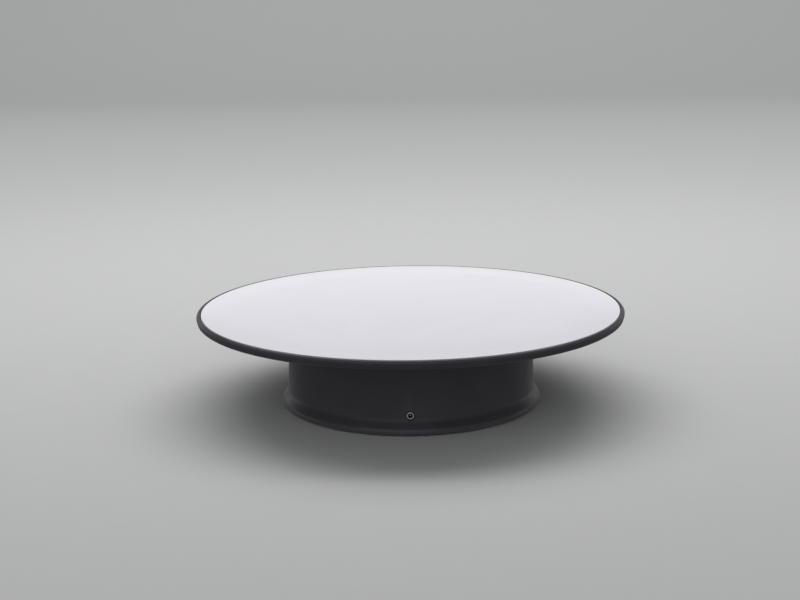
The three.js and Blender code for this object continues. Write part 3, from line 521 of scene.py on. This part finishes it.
def battery_door():
    """Built at its own place, with grip ridges by the latch and a plain arrow towards it."""
    x, y0, y1, low, top = DOOR_X, DOOR_Y0, DOOR_Y1, COVER_BOTTOM, DOOR_TOP
    plate = tray(-x, x, y0, y1, low, top, 0.9)
    latch = slab(-4.5, 4.5, y0 - 1.6, y0 + 1, top - 1.1, top - 0.3, 0.2)
    added = [latch]
    for tab in (-DOOR_TAB_X, DOOR_TAB_X):
        added.append(slab(tab - DOOR_TAB_HALF, tab + DOOR_TAB_HALF, y1 - 0.7, DOOR_PIVOT_Y + 0.7,
                          low, DOOR_PIVOT_Z + 0.7, 0.15))
    under = low - 1
    arrow = [(-1.6, y0 + 12, 0.2), (1.6, y0 + 12, 0.2), (0, y0 + 9.4, 0.2)]
    removed = [
        tray(-6.5, -5.5, y0 - 1, y0 + 8, under, top + 1, 0.45),
        tray(5.5, 6.5, y0 - 1, y0 + 8, under, top + 1, 0.45),
        prism(arrow, under, low + 0.35),
    ]
    for i in range(4):
        ridge_y = y0 + 1.5 + 1.5 * i
        removed.append(tray(-4, 4, ridge_y, ridge_y + 0.8, under, low + 0.45, 0.35))
    return cut(join(plate, *added), *removed)


def rubber_foot():
    return lathe(
        [(0, 0), (2.2, 0, 0.1), (2.5, 0.3, 0.1), (3.1, 0.3, 0.1), (3.4, 0, 0.1), (5.2, 0, 0.3),
         (5.9, 0.5, 0.4), (FOOT_R, 1.2, 0.3), (FOOT_R, FOOT_TOP), (0, FOOT_TOP)],
        64,
    )


def thread(core, crest, pitch, z0, z1):
    """A helical ridge that fades out at both ends."""
    turns = (z1 - z0) / pitch
    steps = int(24 * turns)
    bm = bmesh.new()
    rings = []
    for i in range(steps + 1):
        t = i / steps
        fade = min(1.0, 4 * t * turns, 4 * (1 - t) * turns)
        tip = core + (crest - core) * max(fade, 0.05)
        c, s = polar(1, 360 * turns * t)
        z = z0 + (z1 - z0) * t
        section = ((core - 0.12, -0.36 * pitch), (tip, -0.05 * pitch), (tip, 0.05 * pitch),
                   (core - 0.12, 0.36 * pitch))
        rings.append([bm.verts.new((r * c, r * s, z + dz)) for r, dz in section])
    return skinned(bm, rings)


def screw(head_r, head_height, shank_r, length):
    """A pan-head screw that stands on its head at z = 0, with a cross recess."""
    core = shank_r * 0.8
    head = lathe([(0, 0), (head_r * 0.7, 0, 0.35), (head_r, head_height * 0.5, 0.3),
                  (head_r, head_height, 0.1), (0, head_height)], COARSE)
    shank = lathe([(0, head_height - 0.2), (core, head_height - 0.2), (core, length - 1.2, 0.2),
                   (0.15, length, 0.1), (0, length)], 32)
    ridge = thread(core, shank_r, 0.8, head_height + 0.5, length - 1.4)
    arm, depth = head_r * 0.55, head_height * 0.6
    cross = join(slab(-arm, arm, -0.3, 0.3, -1, depth), slab(-0.3, 0.3, -arm, arm, -1, depth))
    cone = lathe([(0, -0.5), (arm * 0.62, -0.5), (arm * 0.5, depth * 0.6), (0, depth + 0.1)], 24)
    return cut(join(head, shank, ridge), join(cross, cone))


def jack_body():
    box = slab(-3.6, 3.6, -10, 0, -3.5, 3.5, 0.3)
    nose = along_y(rod(1.75, -JACK_MOUTH + 0.9, -9, COARSE, 0.1))
    lugs = [slab(x - 0.4, x + 0.4, -0.5, 0.9, -1.5, 1, 0.1) for x in (-LUG_X, 0, LUG_X)]
    bore = along_y(rod(1.25, -20, -3, COARSE))
    return moved(cut(join(box, nose, *lugs), bore), 0, JACK_BACK_Y, JACK_Z)


def jack_bushing():
    mouth = -JACK_MOUTH
    ring = lathe([(1.25, mouth + 0.6, 0.1), (1.25, mouth, 0.4), (2.25, mouth, 0.45),
                  (2.25, -10.2, 0.1), (1.95, -10.2, 0.1), (1.95, mouth + 0.6, 0.1),
                  (1.3, mouth + 0.6, 0.05)], 64, 6)
    return moved(along_y(ring), 0, JACK_BACK_Y, JACK_Z)


def jack_pin():
    tip = -JACK_MOUTH + 1.2
    pin = lathe([(0, tip), (0.3, tip, 0.15), (0.5, tip + 0.6, 0.15), (0.5, -3.2), (0, -3.2)], 32)
    return moved(along_y(pin), 0, JACK_BACK_Y, JACK_Z)


def switch_slider():
    knob = slab(-2, 2, -1.7, 1.7, 0.8, 5, 0.25)
    flange = slab(-2.8, 2.8, -2.2, 2.2, 4.1, 5.4, 0.1)
    grooves = [slab(x - 0.2, x + 0.2, -2, 2, 0, 1.1) for x in (-1.2, -0.4, 0.4, 1.2)]
    return moved(cut(join(knob, flange), *grooves), SWITCH_X - SWITCH_TRAVEL / 2, SWITCH_Y)


def platter():
    """The dished platter, with its rounded lip, ball groove and the ribs underneath."""
    lip = DISC_R + 0.35
    seat_r = HUB_BORE + 0.55  # the screw's head sits on this step
    dish = lathe(
        [
            (HUB_BORE, HUB_UNDER),
            (12, HUB_UNDER, 0.4),
            (12.3, WEB_UNDER, 0.6),
            (122.3, WEB_UNDER, 0.4),
            (122.6, 52, 0.3),
            (125.2, 52, 0.6),
            (126.4, 52.8, 0.9),
            (PLATTER_R, 55, 1.2),
            (PLATTER_R, TOP - 1.3, 0.5),
            (PLATTER_R - 0.6, TOP - 0.45, 0.35),
            (lip + 1.1, TOP - 0.05, 0.3),
            (lip + 0.6, TOP - 0.05, 0.25),
            (lip + 0.15, TOP - 0.25, 0.2),
            (lip, TOP - 0.6, 0.15),
            (lip, WEB_TOP),
            (seat_r, WEB_TOP),
            (seat_r, HUB_SEAT),
            (HUB_BORE, HUB_SEAT),
        ],
        RIM,
    )
    under, root = WEB_UNDER - 1, WEB_UNDER + 0.4
    added = [lathe([(99.3, under, 0.25), (100.7, under, 0.25), (100.9, root), (99.1, root)], FINE)]
    for i in range(8):
        rib = prism([(-0.7, under, 0.2), (0.7, under, 0.2), (0.85, root), (-0.85, root)], 79, 122.5)
        added.append(turned(upright(rib), 22.5 + 45 * i))
    bore_flat = slab(2.95, 4.5, -3, 3, HUB_UNDER, HUB_SEAT)
    added.append(bore_flat)
    return join(cut(dish, race_ring()), *added)


def top_disc():
    low = WEB_TOP + 0.05
    return lathe([(0, low), (DISC_R, low), (DISC_R, TOP, 0.25), (100, TOP), (50, TOP), (0, TOP)],
                 RIM)


def ball_place(i):
    return polar(RACE_R, 360 / BALLS * i)


def ball_cage():
    half_width, half_height = 4.5, 0.6
    r0, r1 = RACE_R - half_width, RACE_R + half_width
    z0, z1 = BALL_Z - half_height, BALL_Z + half_height
    cage = lathe([(r0, z0, 0.25), (r1, z0, 0.25), (r1, z1, 0.25), (r0, z1, 0.25)], FINE)
    pockets = [moved(rod(BALL_R + 0.2, 48, 55), *ball_place(i)) for i in range(BALLS)]
    return cut(cage, *pockets)


def ball(i):
    bm = bmesh.new()
    bmesh.ops.create_icosphere(bm, subdivisions=4, radius=BALL_R)
    return moved(linked(bm), *ball_place(i), BALL_Z)


# ------------------------------------------------------------------ battery and wires
def battery_cell():
    """A round cell along X: a rolled-in jacket, a sunk minus end and a nub at the plus end."""
    r, x0, x1, nub = 16.6, -28.3, 31.2, 4.75
    profile = [(0, x0 + 0.6), (r - 3.2, x0 + 0.6, 0.3), (r - 2.6, x0, 0.4), (r - 0.7, x0, 0.3),
               (r - 0.1, x0 + 0.8, 0.3), (r - 0.1, x0 + 1.6, 0.05), (r, x0 + 1.7, 0.1),
               (r, x1 - 1.7, 0.1), (r - 0.1, x1 - 1.6, 0.05), (r - 0.1, x1 - 0.8, 0.3),
               (r - 0.7, x1, 0.3), (r - 2.2, x1, 0.4), (r - 3.0, x1 - 0.3, 0.4),
               (nub + 0.8, x1 - 0.3, 0.3), (nub, x1, 0.2), (nub, x1 + 1.5, 0.5), (0, x1 + 1.5)]
    return moved(along_x(lathe(profile)), 0, CELL_Y, CELL_Z)


def contact_spring():
    """A conical spring that is widest at the bay's wall."""
    turns, steps = 3.5, 112
    wide, narrow, length, wire_r = 7.2, 3.8, 2.9, 0.45
    path = []
    for i in range(steps + 1):
        t = i / steps
        y, z = polar(wide + (narrow - wide) * t, 360 * turns * t)
        path.append(Vector((length * t, y, z)))
    return moved(sweep(path, circle(wire_r, 10)), 1 - BAY_X, CELL_Y, CELL_Z)


def contact_plate(side):
    """A square plate with a solder tab above it. Side is -1 or 1, for the end of the bay."""
    outline = [(-9, -9, 1), (9, -9, 1), (9, 9, 1), (2, 9, 0.4), (2, 14.6, 0.7), (-2, 14.6, 0.7),
               (-2, 9, 0.4), (-9, 9, 1)]
    return moved(upright(prism(outline, -0.2, 0.2)), side * (BAY_X - 0.25), CELL_Y, CELL_Z)


WIRE_R = 0.68
WIRE_ROUTES = {  # points along each wire, from end to end
    "wire_cell_minus": [
        (-33.8, 35, 34), (-36.3, 35, 34), (-41, 28, 30), (-40, 15.5, 24), (-32, 12.9, 21.5),
        (-18, 13.2, 20), (-6.9, 13.2, 19.5)],
    "wire_jack_minus": [
        (-2.4, -59.2, 11.2), (-2.4, -58, 11.2), (8, -55.5, 17), (22, -53, 18), (27, -40, 18),
        (27, -8, 20), (25, 6, 21.5), (19, 13, 22), (2, 13.8, 21.4), (-5.3, 13.2, 20.4)],
    "wire_motor_plus": [
        (6, 13.2, 20), (14, 13.5, 19.8), (25, 9, 18), (34, -5, 15), (37, -24, 13.5),
        (37, -30, 12.6), (37, -30, 11.3)],
    "wire_switch_feed": [
        (40, -30, 11.3), (40, -30, 12.6), (36.5, -47, 13.5), (24, -55.5, 13), (2.4, -58, 11.4),
        (2.4, -59.2, 11.4)],
    "wire_cell_plus": [
        (33.8, 35, 34), (36.3, 35, 34), (41.5, 28, 29.5), (46, 16, 20), (49.5, -6, 11),
        (49.5, -26, 7.4), (46.5, -36.5, 6.8), (36, -47, 6.8), (16, -57, 8.2), (0.2, -58, 9.9),
        (0, -59.2, 9.9)],
}


def curve_through(points, steps):
    """A smooth path through points, spaced by the square root of their distances."""
    points = [Vector(p) for p in points]
    points = [2 * points[0] - points[1], *points, 2 * points[-1] - points[-2]]
    path = []
    for before, start, end, after in zip(points, points[1:], points[2:], points[3:]):
        a, b, c = [math.sqrt((q - p).length) for p, q in
                   ((before, start), (start, end), (end, after))]
        leave = ((start - before) / a - (end - before) / (a + b) + (end - start) / b) * b
        arrive = ((end - start) / b - (after - start) / (b + c) + (after - end) / c) * b
        for k in range(steps):
            t = k / steps
            path.append((2 * t**3 - 3 * t**2 + 1) * start + (t**3 - 2 * t**2 + t) * leave
                        + (3 * t**2 - 2 * t**3) * end + (t**3 - t**2) * arrive)
    return path + [points[-2]]


def wire(route):
    return sweep(curve_through(route, 8), circle(WIRE_R, 12))


def switch_body():
    case = slab(-5.6, 5.6, -3, 3, COVER_TOP + 0.05, 9.3, 0.2)
    pins = [slab(x - 0.4, x + 0.4, -1, 1, 9, 11, 0.1) for x in (-3, 0, 3)]
    knob_room = slab(-5, 5, -2.5, 2.5, 3, 5.7)
    return moved(cut(join(case, *pins), knob_room), SWITCH_X, SWITCH_Y)


# ------------------------------------------------------------------ gearbox
def gear(teeth, module, phase, backlash, z0, z1):
    """A spur gear with involute flanks and a tooth centred at phase."""
    r = teeth * module / 2
    pressure = math.radians(20)
    base = r * math.cos(pressure)
    root, tip = r - 1.25 * module, r + 0.95 * module

    def half_at(radius):
        roll = math.acos(min(1.0, base / radius))
        thin = (math.pi * module - 2 * backlash) / 4 / r
        return thin + math.tan(pressure) - pressure - math.tan(roll) + roll

    start = max(root, base)
    flank = [start + (tip - start) * k / 5 for k in range(6)]
    if root < base:
        flank.insert(0, root)
    outline = []
    for i in range(teeth):
        centre = phase + 2 * math.pi * i / teeth
        edges = [(radius, centre - half_at(radius)) for radius in flank]
        edges += [(radius, centre + half_at(radius)) for radius in reversed(flank)]
        outline += [(radius * math.cos(a), radius * math.sin(a)) for radius, a in edges]
    return prism(outline, z0, z1)


def half_pitch(teeth):
    return math.pi / teeth


def compound_gear_1():
    """The worm wheel, the pinion above it and a spacer on top."""
    low, high = 17.5, 22.5
    made = join(
        gear(WORM_WHEEL, FINE_MODULE, half_pitch(WORM_WHEEL), WORM_BACKLASH, low, high),
        gear(PINION_1, FINE_MODULE, TO_AXLE_2, FINE_BACKLASH, high - 0.2, 29.5),
        rod(2.6, 29.3, 32.6, soft=0.2),
    )
    top = lathe([(5.5, 21.91), (9, 21.91), (8.7, high + 0.01), (5.8, high + 0.01)])
    under = lathe([(3, low - 0.1), (9, low - 0.1), (8.7, low + 0.8), (3.3, low + 0.8)])
    return moved(cut(made, rod(GEAR_BORE, 16, 34), top, under), *AXLE_1)


def compound_gear_2():
    """The second wheel, with its pinion on a long neck."""
    low, high = 24, 28
    made = join(
        gear(WHEEL_2, FINE_MODULE, TO_AXLE_2 + math.pi + half_pitch(WHEEL_2), FINE_BACKLASH,
             low, high),
        rod(4.6, high - 0.2, 42.5, soft=0.1),
        gear(PINION_2, COARSE_MODULE, TO_FINAL, COARSE_BACKLASH, 42.3, 46.9),
    )
    top = lathe([(6, high + 0.1), (13.2, high + 0.1), (13, high - 0.9), (6.2, high - 0.9)])
    under = lathe([(4, low - 0.1), (13.2, low - 0.1), (13, low + 0.9), (4.2, low + 0.9)])
    return moved(cut(made, rod(GEAR_BORE, 23, 48), top, under), *AXLE_2)


def final_gear():
    """The wheel on the spindle, with five round holes in its web."""
    low, high = 42.6, 46.6
    made = join(
        gear(FINAL_WHEEL, COARSE_MODULE, TO_FINAL + math.pi + half_pitch(FINAL_WHEEL),
             COARSE_BACKLASH, low, high),
        rod(8, 41.6, 47.2, MEDIUM, 0.3),
    )
    holes = [moved(rod(5.5, 40, 50), *polar(17.5, 72 * i)) for i in range(5)]
    under = lathe([(9.5, low - 0.1), (26, low - 0.1), (25.8, low + 0.9), (9.7, low + 0.9)])
    top = lathe([(9.5, high + 0.1), (26, high + 0.1), (25.8, high - 0.9), (9.7, high - 0.9)])
    return cut(made, rod(SPINDLE_R + 0.12, 41, 48), under, top, *holes)


def frame_screw(head_r, head_height, shank_r, length, place):
    """A screw that is driven from above, with its head's top at place."""
    return moved(turned(screw(head_r, head_height, shank_r, length), 180, "X"), *place)


def gearbox_lower():
    """The lower plate, with its posts, axle bosses, motor saddles and worm bearing."""
    root = 6.5
    saddle_top = MOTOR_Z - 5
    added = [
        moved(rod(POST_R, root, 17), *AXLE_1),
        moved(rod(POST_R, root, 23.4), *AXLE_2),
        slab(-4, 4, -49, -46.5, root, MOTOR_Z + 4),
        slab(-MOTOR_R, MOTOR_R, -14, -11.5, root, saddle_top),
        slab(-MOTOR_R, MOTOR_R, 1.5, 4, root, saddle_top),
    ]
    removed = [moved(rod(AXLE_HOLE, 0, 30), *AXLE_1), moved(rod(AXLE_HOLE, 0, 30), *AXLE_2)]
    for x, y in POSTS:
        added.append(moved(rod(POST_R, root, UPPER_FRAME[0] - 0.05), x, y))
        removed.append(moved(rod(0.95, 24, 40, 24), x, y))
    bed = along_y(rod(MOTOR_R + 0.3, -22, 12, MEDIUM))
    bearing = along_y(rod(1.25, -52, -40))
    removed.append(moved(join(bed, bearing), 0, 0, MOTOR_Z))
    return cut(join(prism(FRAME_OUTLINE, *LOWER_FRAME), *added), *removed)


def gearbox_upper():
    """The upper plate, which carries the spindle and the tops of the axles."""
    added = [rod(5.2, 34.5, 38.6, soft=0.3), moved(rod(POST_R, 34.5, 36), *AXLE_1)]
    removed = [
        rod(SPINDLE_NECK_R + 0.25, 34, 42),
        moved(rod(7.4, 30, 40), *AXLE_2),
        moved(rod(AXLE_HOLE, 30, 35), *AXLE_1),
    ]
    for x, y in POSTS:
        removed.append(moved(rod(1.15, 30, 40, 24), x, y))
    return cut(join(prism(FRAME_OUTLINE, *UPPER_FRAME), *added), *removed)


def spindle():
    neck, r, top_r = SPINDLE_NECK_R, SPINDLE_R, 3.5
    shoulder, top = 50.6, 53.9
    made = lathe([(0, 35.3), (neck, 35.3, 0.2), (neck, 39), (r, 39, 0.2), (r, shoulder, 0.2),
                  (top_r, shoulder), (top_r, top, 0.2), (0, top)])
    screw_hole = rod(1.3, 45, 60, 32)
    drive_flat = slab(2.7, 6, -6, 6, 50.7, 60)
    return cut(made, screw_hole, drive_flat)


def spindle_bush():
    bore, rim_top = SPINDLE_R + 0.2, DECK_TOP + 0.45
    return lathe([(bore, DECK_BOTTOM, 0.2), (6.5, DECK_BOTTOM, 0.2), (6.5, DECK_TOP + 0.05),
                  (8.2, DECK_TOP + 0.05), (8.2, rim_top, 0.15), (bore, rim_top, 0.15)])


# ------------------------------------------------------------------ motor, along Y
TERMINAL_X = 6


def laid(obj):
    """Lays a motor piece that was built along Z down on the motor's axis."""
    return moved(along_y(obj), 0, 0, MOTOR_Z)


def motor_can():
    """The can, closed at the shaft's end, where it has a bearing nose and two vents."""
    can = lathe([(1.6, -19.5, 0.1), (3, -19.5, 0.3), (3, -18, 0.2), (MOTOR_R, -18, 1.0),
                 (MOTOR_R, 8, 0.2), (11.2, 8, 0.1), (11.2, -17, 0.4), (1.6, -17)])
    vents = [turned(slab(5.5, 9, -1, 1, -20, -16), angle) for angle in (0, 180)]
    return laid(cut(can, *vents))


def motor_end_cap():
    cap = lathe([(1.2, 6.4), (11, 6.4, 0.2), (11, 8.1), (11.7, 8.1, 0.1), (11.7, 10.5, 0.5),
                 (3.4, 10.5, 0.1), (3.2, 10.2, 0.1), (0, 10.2), (0, 9.6), (1.2, 9.6)])
    slots = [slab(x - 1.7, x + 1.7, -0.7, 0.7, 9, 11) for x in (-TERMINAL_X, TERMINAL_X)]
    return laid(cut(cap, *slots))


def motor_magnet(facing):
    """A curved magnet whose middle faces the given angle."""
    outer = [polar(11.0, a) for a in range(-52, 53, 4)]
    inner = [polar(9.2, a) for a in range(52, -53, -4)]
    return laid(turned(prism(outer + inner, -14, 4), facing))


def motor_rotor():
    """A three-pole core with winding slots, and the commutator with its gaps."""
    made = lathe([(SHAFT_BORE, -12), (8.5, -12, 0.15), (8.5, 2, 0.15), (2.6, 2), (2.6, 5.6, 0.1),
                  (SHAFT_BORE, 5.6)])
    slots = []
    for angle in (90, 210, 330):
        slots.append(turned(slab(6.9, 10, -0.8, 0.8, -13, 3), angle))
        slots.append(moved(rod(1.5, -13, 3, 32), *polar(5.6, angle)))
        slots.append(turned(slab(2.3, 3, -0.15, 0.15, 2.6, 6), angle + 60))
    return laid(cut(made, *slots))


def worm():
    """One right-hand start. Its crest faces -X at mid length, in the wheel's gap."""
    per_turn, turns = 36, 4.5
    root, chamfer, tip = 2.4, WORM_CREST_R - 0.1, WORM_CREST_R
    section = ((root, -0.62), (chamfer, -0.26), (tip, -0.16), (tip, 0.16), (chamfer, 0.26),
               (root, 0.62))
    steps = int(per_turn * turns)
    bm = bmesh.new()
    rings = []
    for i in range(steps + 1):
        along = (i - steps / 2) / per_turn
        c, s = polar(1, 360 * along + 180)
        rings.append([bm.verts.new((r * c, r * s, z + WORM_LEAD * along)) for r, z in section])
    core = rod(WORM_R, -6.5, 6.5, soft=0.3)
    made = cut(join(core, skinned(bm, rings)), rod(SHAFT_BORE, -20, 20))
    return laid(moved(made, 0, 0, WORM_Y))


# ------------------------------------------------------------------ all the pieces
def make_outside():
    piece("base_shell", base_shell())
    piece("bottom_cover", bottom_cover(), 0.12)
    piece("battery_door", battery_door(), 0.15)
    for i, side in enumerate(("right", "back", "left", "front")):
        piece(f"foot_{side}", moved(rubber_foot(), *polar(RING_R, 90 * i)))
    for i, corner in enumerate(("back_right", "back_left", "front_left", "front_right")):
        made = moved(screw(3, 1.1, 1.2, 13), *polar(RING_R, 45 + 90 * i), 1.75)
        piece(f"cover_screw_{corner}", made)
    piece("jack_body", jack_body())
    piece("jack_bushing", jack_bushing(), look="dull_nickel")
    piece("jack_pin", jack_pin())
    piece("switch_slider", switch_slider())
    piece("platter", platter())
    piece("top_disc", top_disc())
    piece("ball_cage", ball_cage())
    for i in range(BALLS):
        piece(f"ball_{i + 1}", ball(i), angle=180)


def make_power():
    piece("battery_cell", battery_cell())
    piece("contact_spring", contact_spring())
    piece("contact_plate_minus", contact_plate(-1), 0.06)
    piece("contact_plate_plus", contact_plate(1), 0.06)
    piece("switch_body", switch_body())
    for name, route in WIRE_ROUTES.items():
        piece(name, wire(route), angle=60)


def make_drive():
    piece("compound_gear_1", compound_gear_1(), 0.06)
    piece("compound_gear_2", compound_gear_2(), 0.06)
    piece("final_gear", final_gear(), 0.08)
    piece("axle_1", moved(rod(AXLE_R, 5.3, 34.8, soft=0.25), *AXLE_1))
    piece("axle_2", moved(rod(AXLE_R, 5.3, 47.2, soft=0.25), *AXLE_2))
    piece("spindle", spindle())
    piece("spindle_bush", spindle_bush())
    piece("gearbox_lower", gearbox_lower(), 0.15)
    piece("gearbox_upper", gearbox_upper(), 0.15)
    for i, (x, y) in enumerate(POSTS):
        piece(f"gearbox_screw_{i + 1}", frame_screw(2.5, 1.4, 0.8, 8.5, (x, y, 36.45)))
    piece("platter_screw", frame_screw(3.6, 1.1, 1.1, 8.5, (0, 0, 55.15)))
    piece("motor_can", motor_can(), 0.08)
    piece("motor_end_cap", motor_end_cap(), 0.08)
    piece("motor_magnet_right", motor_magnet(0), 0.15)
    piece("motor_magnet_left", motor_magnet(180), 0.15)
    for sign, x in (("plus", TERMINAL_X), ("minus", -TERMINAL_X)):
        terminal = laid(slab(x - 1.4, x + 1.4, -0.3, 0.3, 9.1, 12.4, 0.1))
        piece(f"motor_terminal_{sign}", terminal)
    piece("motor_shaft", laid(rod(SHAFT_R, -49.2, 9.2, 32, 0.2)))
    piece("motor_rotor", motor_rotor(), 0.06)
    piece("worm", worm())


# ------------------------------------------------------------------ studio
# Light levels of the air: (height from 0 straight down to 1 straight up, strength)
BACK_SKY = ((0, 0.14), (0.4, 0.2), (0.48, 0.3), (0.54, 0.65), (0.59, 0.75), (0.63, 0.12),
            (0.7, 0.1), (1, 0.3))
FRONT_SKY = ((0, 0.16), (0.3, 0.34), (0.5, 0.38), (0.82, 0.42), (0.9, 0.25), (1, 0.3))
FLOOR_HALF, FLOOR_BACK, FLOOR_CURVE, WALL_TOP = 12.0, 2.5, 2.0, 6.0  # m

SENSOR, LENS = 36.0, 60.64  # mm
CAMERA_PLACE = (0.007426, -0.787905, 0.23608)
CAMERA_TURN, CAMERA_PITCH, CAMERA_ROLL = 0.9785, 12.5249, -0.831  # degrees


def floor():
    """A pale floor that curves up behind the stand. It can't be seen from below."""
    bm = bmesh.new()
    line = [(-FLOOR_HALF, 0.0), (FLOOR_BACK, 0.0)]
    for k in range(1, 13):
        y, z = polar(FLOOR_CURVE, 7.5 * k - 90)
        line.append((FLOOR_BACK + y, FLOOR_CURVE + z))
    line.append((FLOOR_BACK + FLOOR_CURVE, WALL_TOP))
    left = [bm.verts.new((-FLOOR_HALF, y, z)) for y, z in line]
    right = [bm.verts.new((FLOOR_HALF, y, z)) for y, z in line]
    for i in range(len(line) - 1):
        bm.faces.new((left[i], right[i], right[i + 1], left[i + 1]))
    obj = linked(bm)
    obj.name = "floor"
    obj.data.shade_smooth()
    made = finish_look("floor_paper", (0.50, 0.505, 0.50), 0.85, grain=0.03, grain_size=1.5,
                       mottle=0.006, vary=0.03, specular=0.2)
    tree = made.node_tree
    out = tree.nodes["Material Output"]
    clear = tree.nodes.new("ShaderNodeBsdfTransparent")
    choose = tree.nodes.new("ShaderNodeMixShader")
    geometry = tree.nodes.new("ShaderNodeNewGeometry")
    tree.links.new(geometry.outputs["Backfacing"], choose.inputs["Fac"])
    tree.links.new(tree.nodes["Principled BSDF"].outputs["BSDF"], choose.inputs[1])
    tree.links.new(clear.outputs["BSDF"], choose.inputs[2])
    tree.links.new(choose.outputs["Shader"], out.inputs["Surface"])
    obj.data.materials.append(made)
    obj.visible_diffuse = False
    obj.visible_glossy = False


def area_light(name, place, target, size, power):
    data = bpy.data.lights.new(name, "AREA")
    data.shape = "RECTANGLE"
    data.size, data.size_y = size
    data.energy = power
    obj = bpy.data.objects.new(name, data)
    bpy.context.scene.collection.objects.link(obj)
    obj.location = place
    obj.rotation_mode = "QUATERNION"
    obj.rotation_quaternion = (Vector(target) - Vector(place)).to_track_quat("-Z", "Y")


def sky_levels(tree, height, stops):
    """Light by height: each stop is a share of the way from straight down to straight up."""
    made = tree.nodes.new("ShaderNodeValToRGB")
    ramp = made.color_ramp
    ramp.interpolation = "EASE"
    ramp.elements.remove(ramp.elements[1])
    for place, level in stops:
        stop = ramp.elements.new(place) if place else ramp.elements[0]
        stop.position = place
        stop.color = (level, level, level, 1)
    tree.links.new(height, made.inputs["Fac"])
    return made.outputs["Color"]


def sky():
    """Studio air: a bright low horizon behind the stand, and soft light from the front."""
    world = bpy.data.worlds.new("studio_air")
    bpy.context.scene.world = world
    world.use_nodes = True
    tree = world.node_tree
    direction = tree.nodes.new("ShaderNodeTexCoord").outputs["Generated"]
    split = tree.nodes.new("ShaderNodeSeparateXYZ")
    tree.links.new(direction, split.inputs["Vector"])
    height = spread(tree, split.outputs["Z"], 0, 1, -1, 1)
    behind = spread(tree, split.outputs["Y"], 0, 1, -0.3, 0.2)
    mix = tree.nodes.new("ShaderNodeMix")
    mix.data_type = "RGBA"
    tree.links.new(behind, mix.inputs["Factor"])
    tree.links.new(sky_levels(tree, height, FRONT_SKY), mix.inputs["A"])
    tree.links.new(sky_levels(tree, height, BACK_SKY), mix.inputs["B"])
    tree.links.new(mix.outputs["Result"], tree.nodes["Background"].inputs["Strength"])
    tree.nodes["Background"].inputs["Color"].default_value = (0.97, 0.98, 1.0, 1)


def camera():
    data = bpy.data.cameras.new("camera")
    data.sensor_width = SENSOR
    data.lens = LENS
    data.shift_y = -0.0008
    obj = bpy.data.objects.new("camera", data)
    bpy.context.scene.collection.objects.link(obj)
    turn = Matrix.Rotation(math.radians(CAMERA_TURN), 4, "Z")
    tilt = Matrix.Rotation(math.radians(90 - CAMERA_PITCH), 4, "X")
    roll = Matrix.Rotation(math.radians(CAMERA_ROLL), 4, "Z")
    obj.matrix_world = Matrix.Translation(CAMERA_PLACE) @ turn @ tilt @ roll
    bpy.context.scene.camera = obj


def studio():
    floor()
    sky()
    area_light("overhead_softbox", (-0.03, 0.3, 0.9), (0, 0.05, 0.05), (1.3, 0.8), 6.2)
    area_light("front_fill", (-0.3, -1.5, 0.95), (0, 0, 0.02), (2.2, 0.9), 5.0)
    area_light("backdrop_wash", (0, 0.9, 2.4), (0, 3.8, 0.3), (5.0, 2.0), 75)
    camera()
    view = bpy.context.scene.view_settings
    view.view_transform = "Standard"
    view.look = "None"


make_outside()
make_power()
make_drive()
studio()
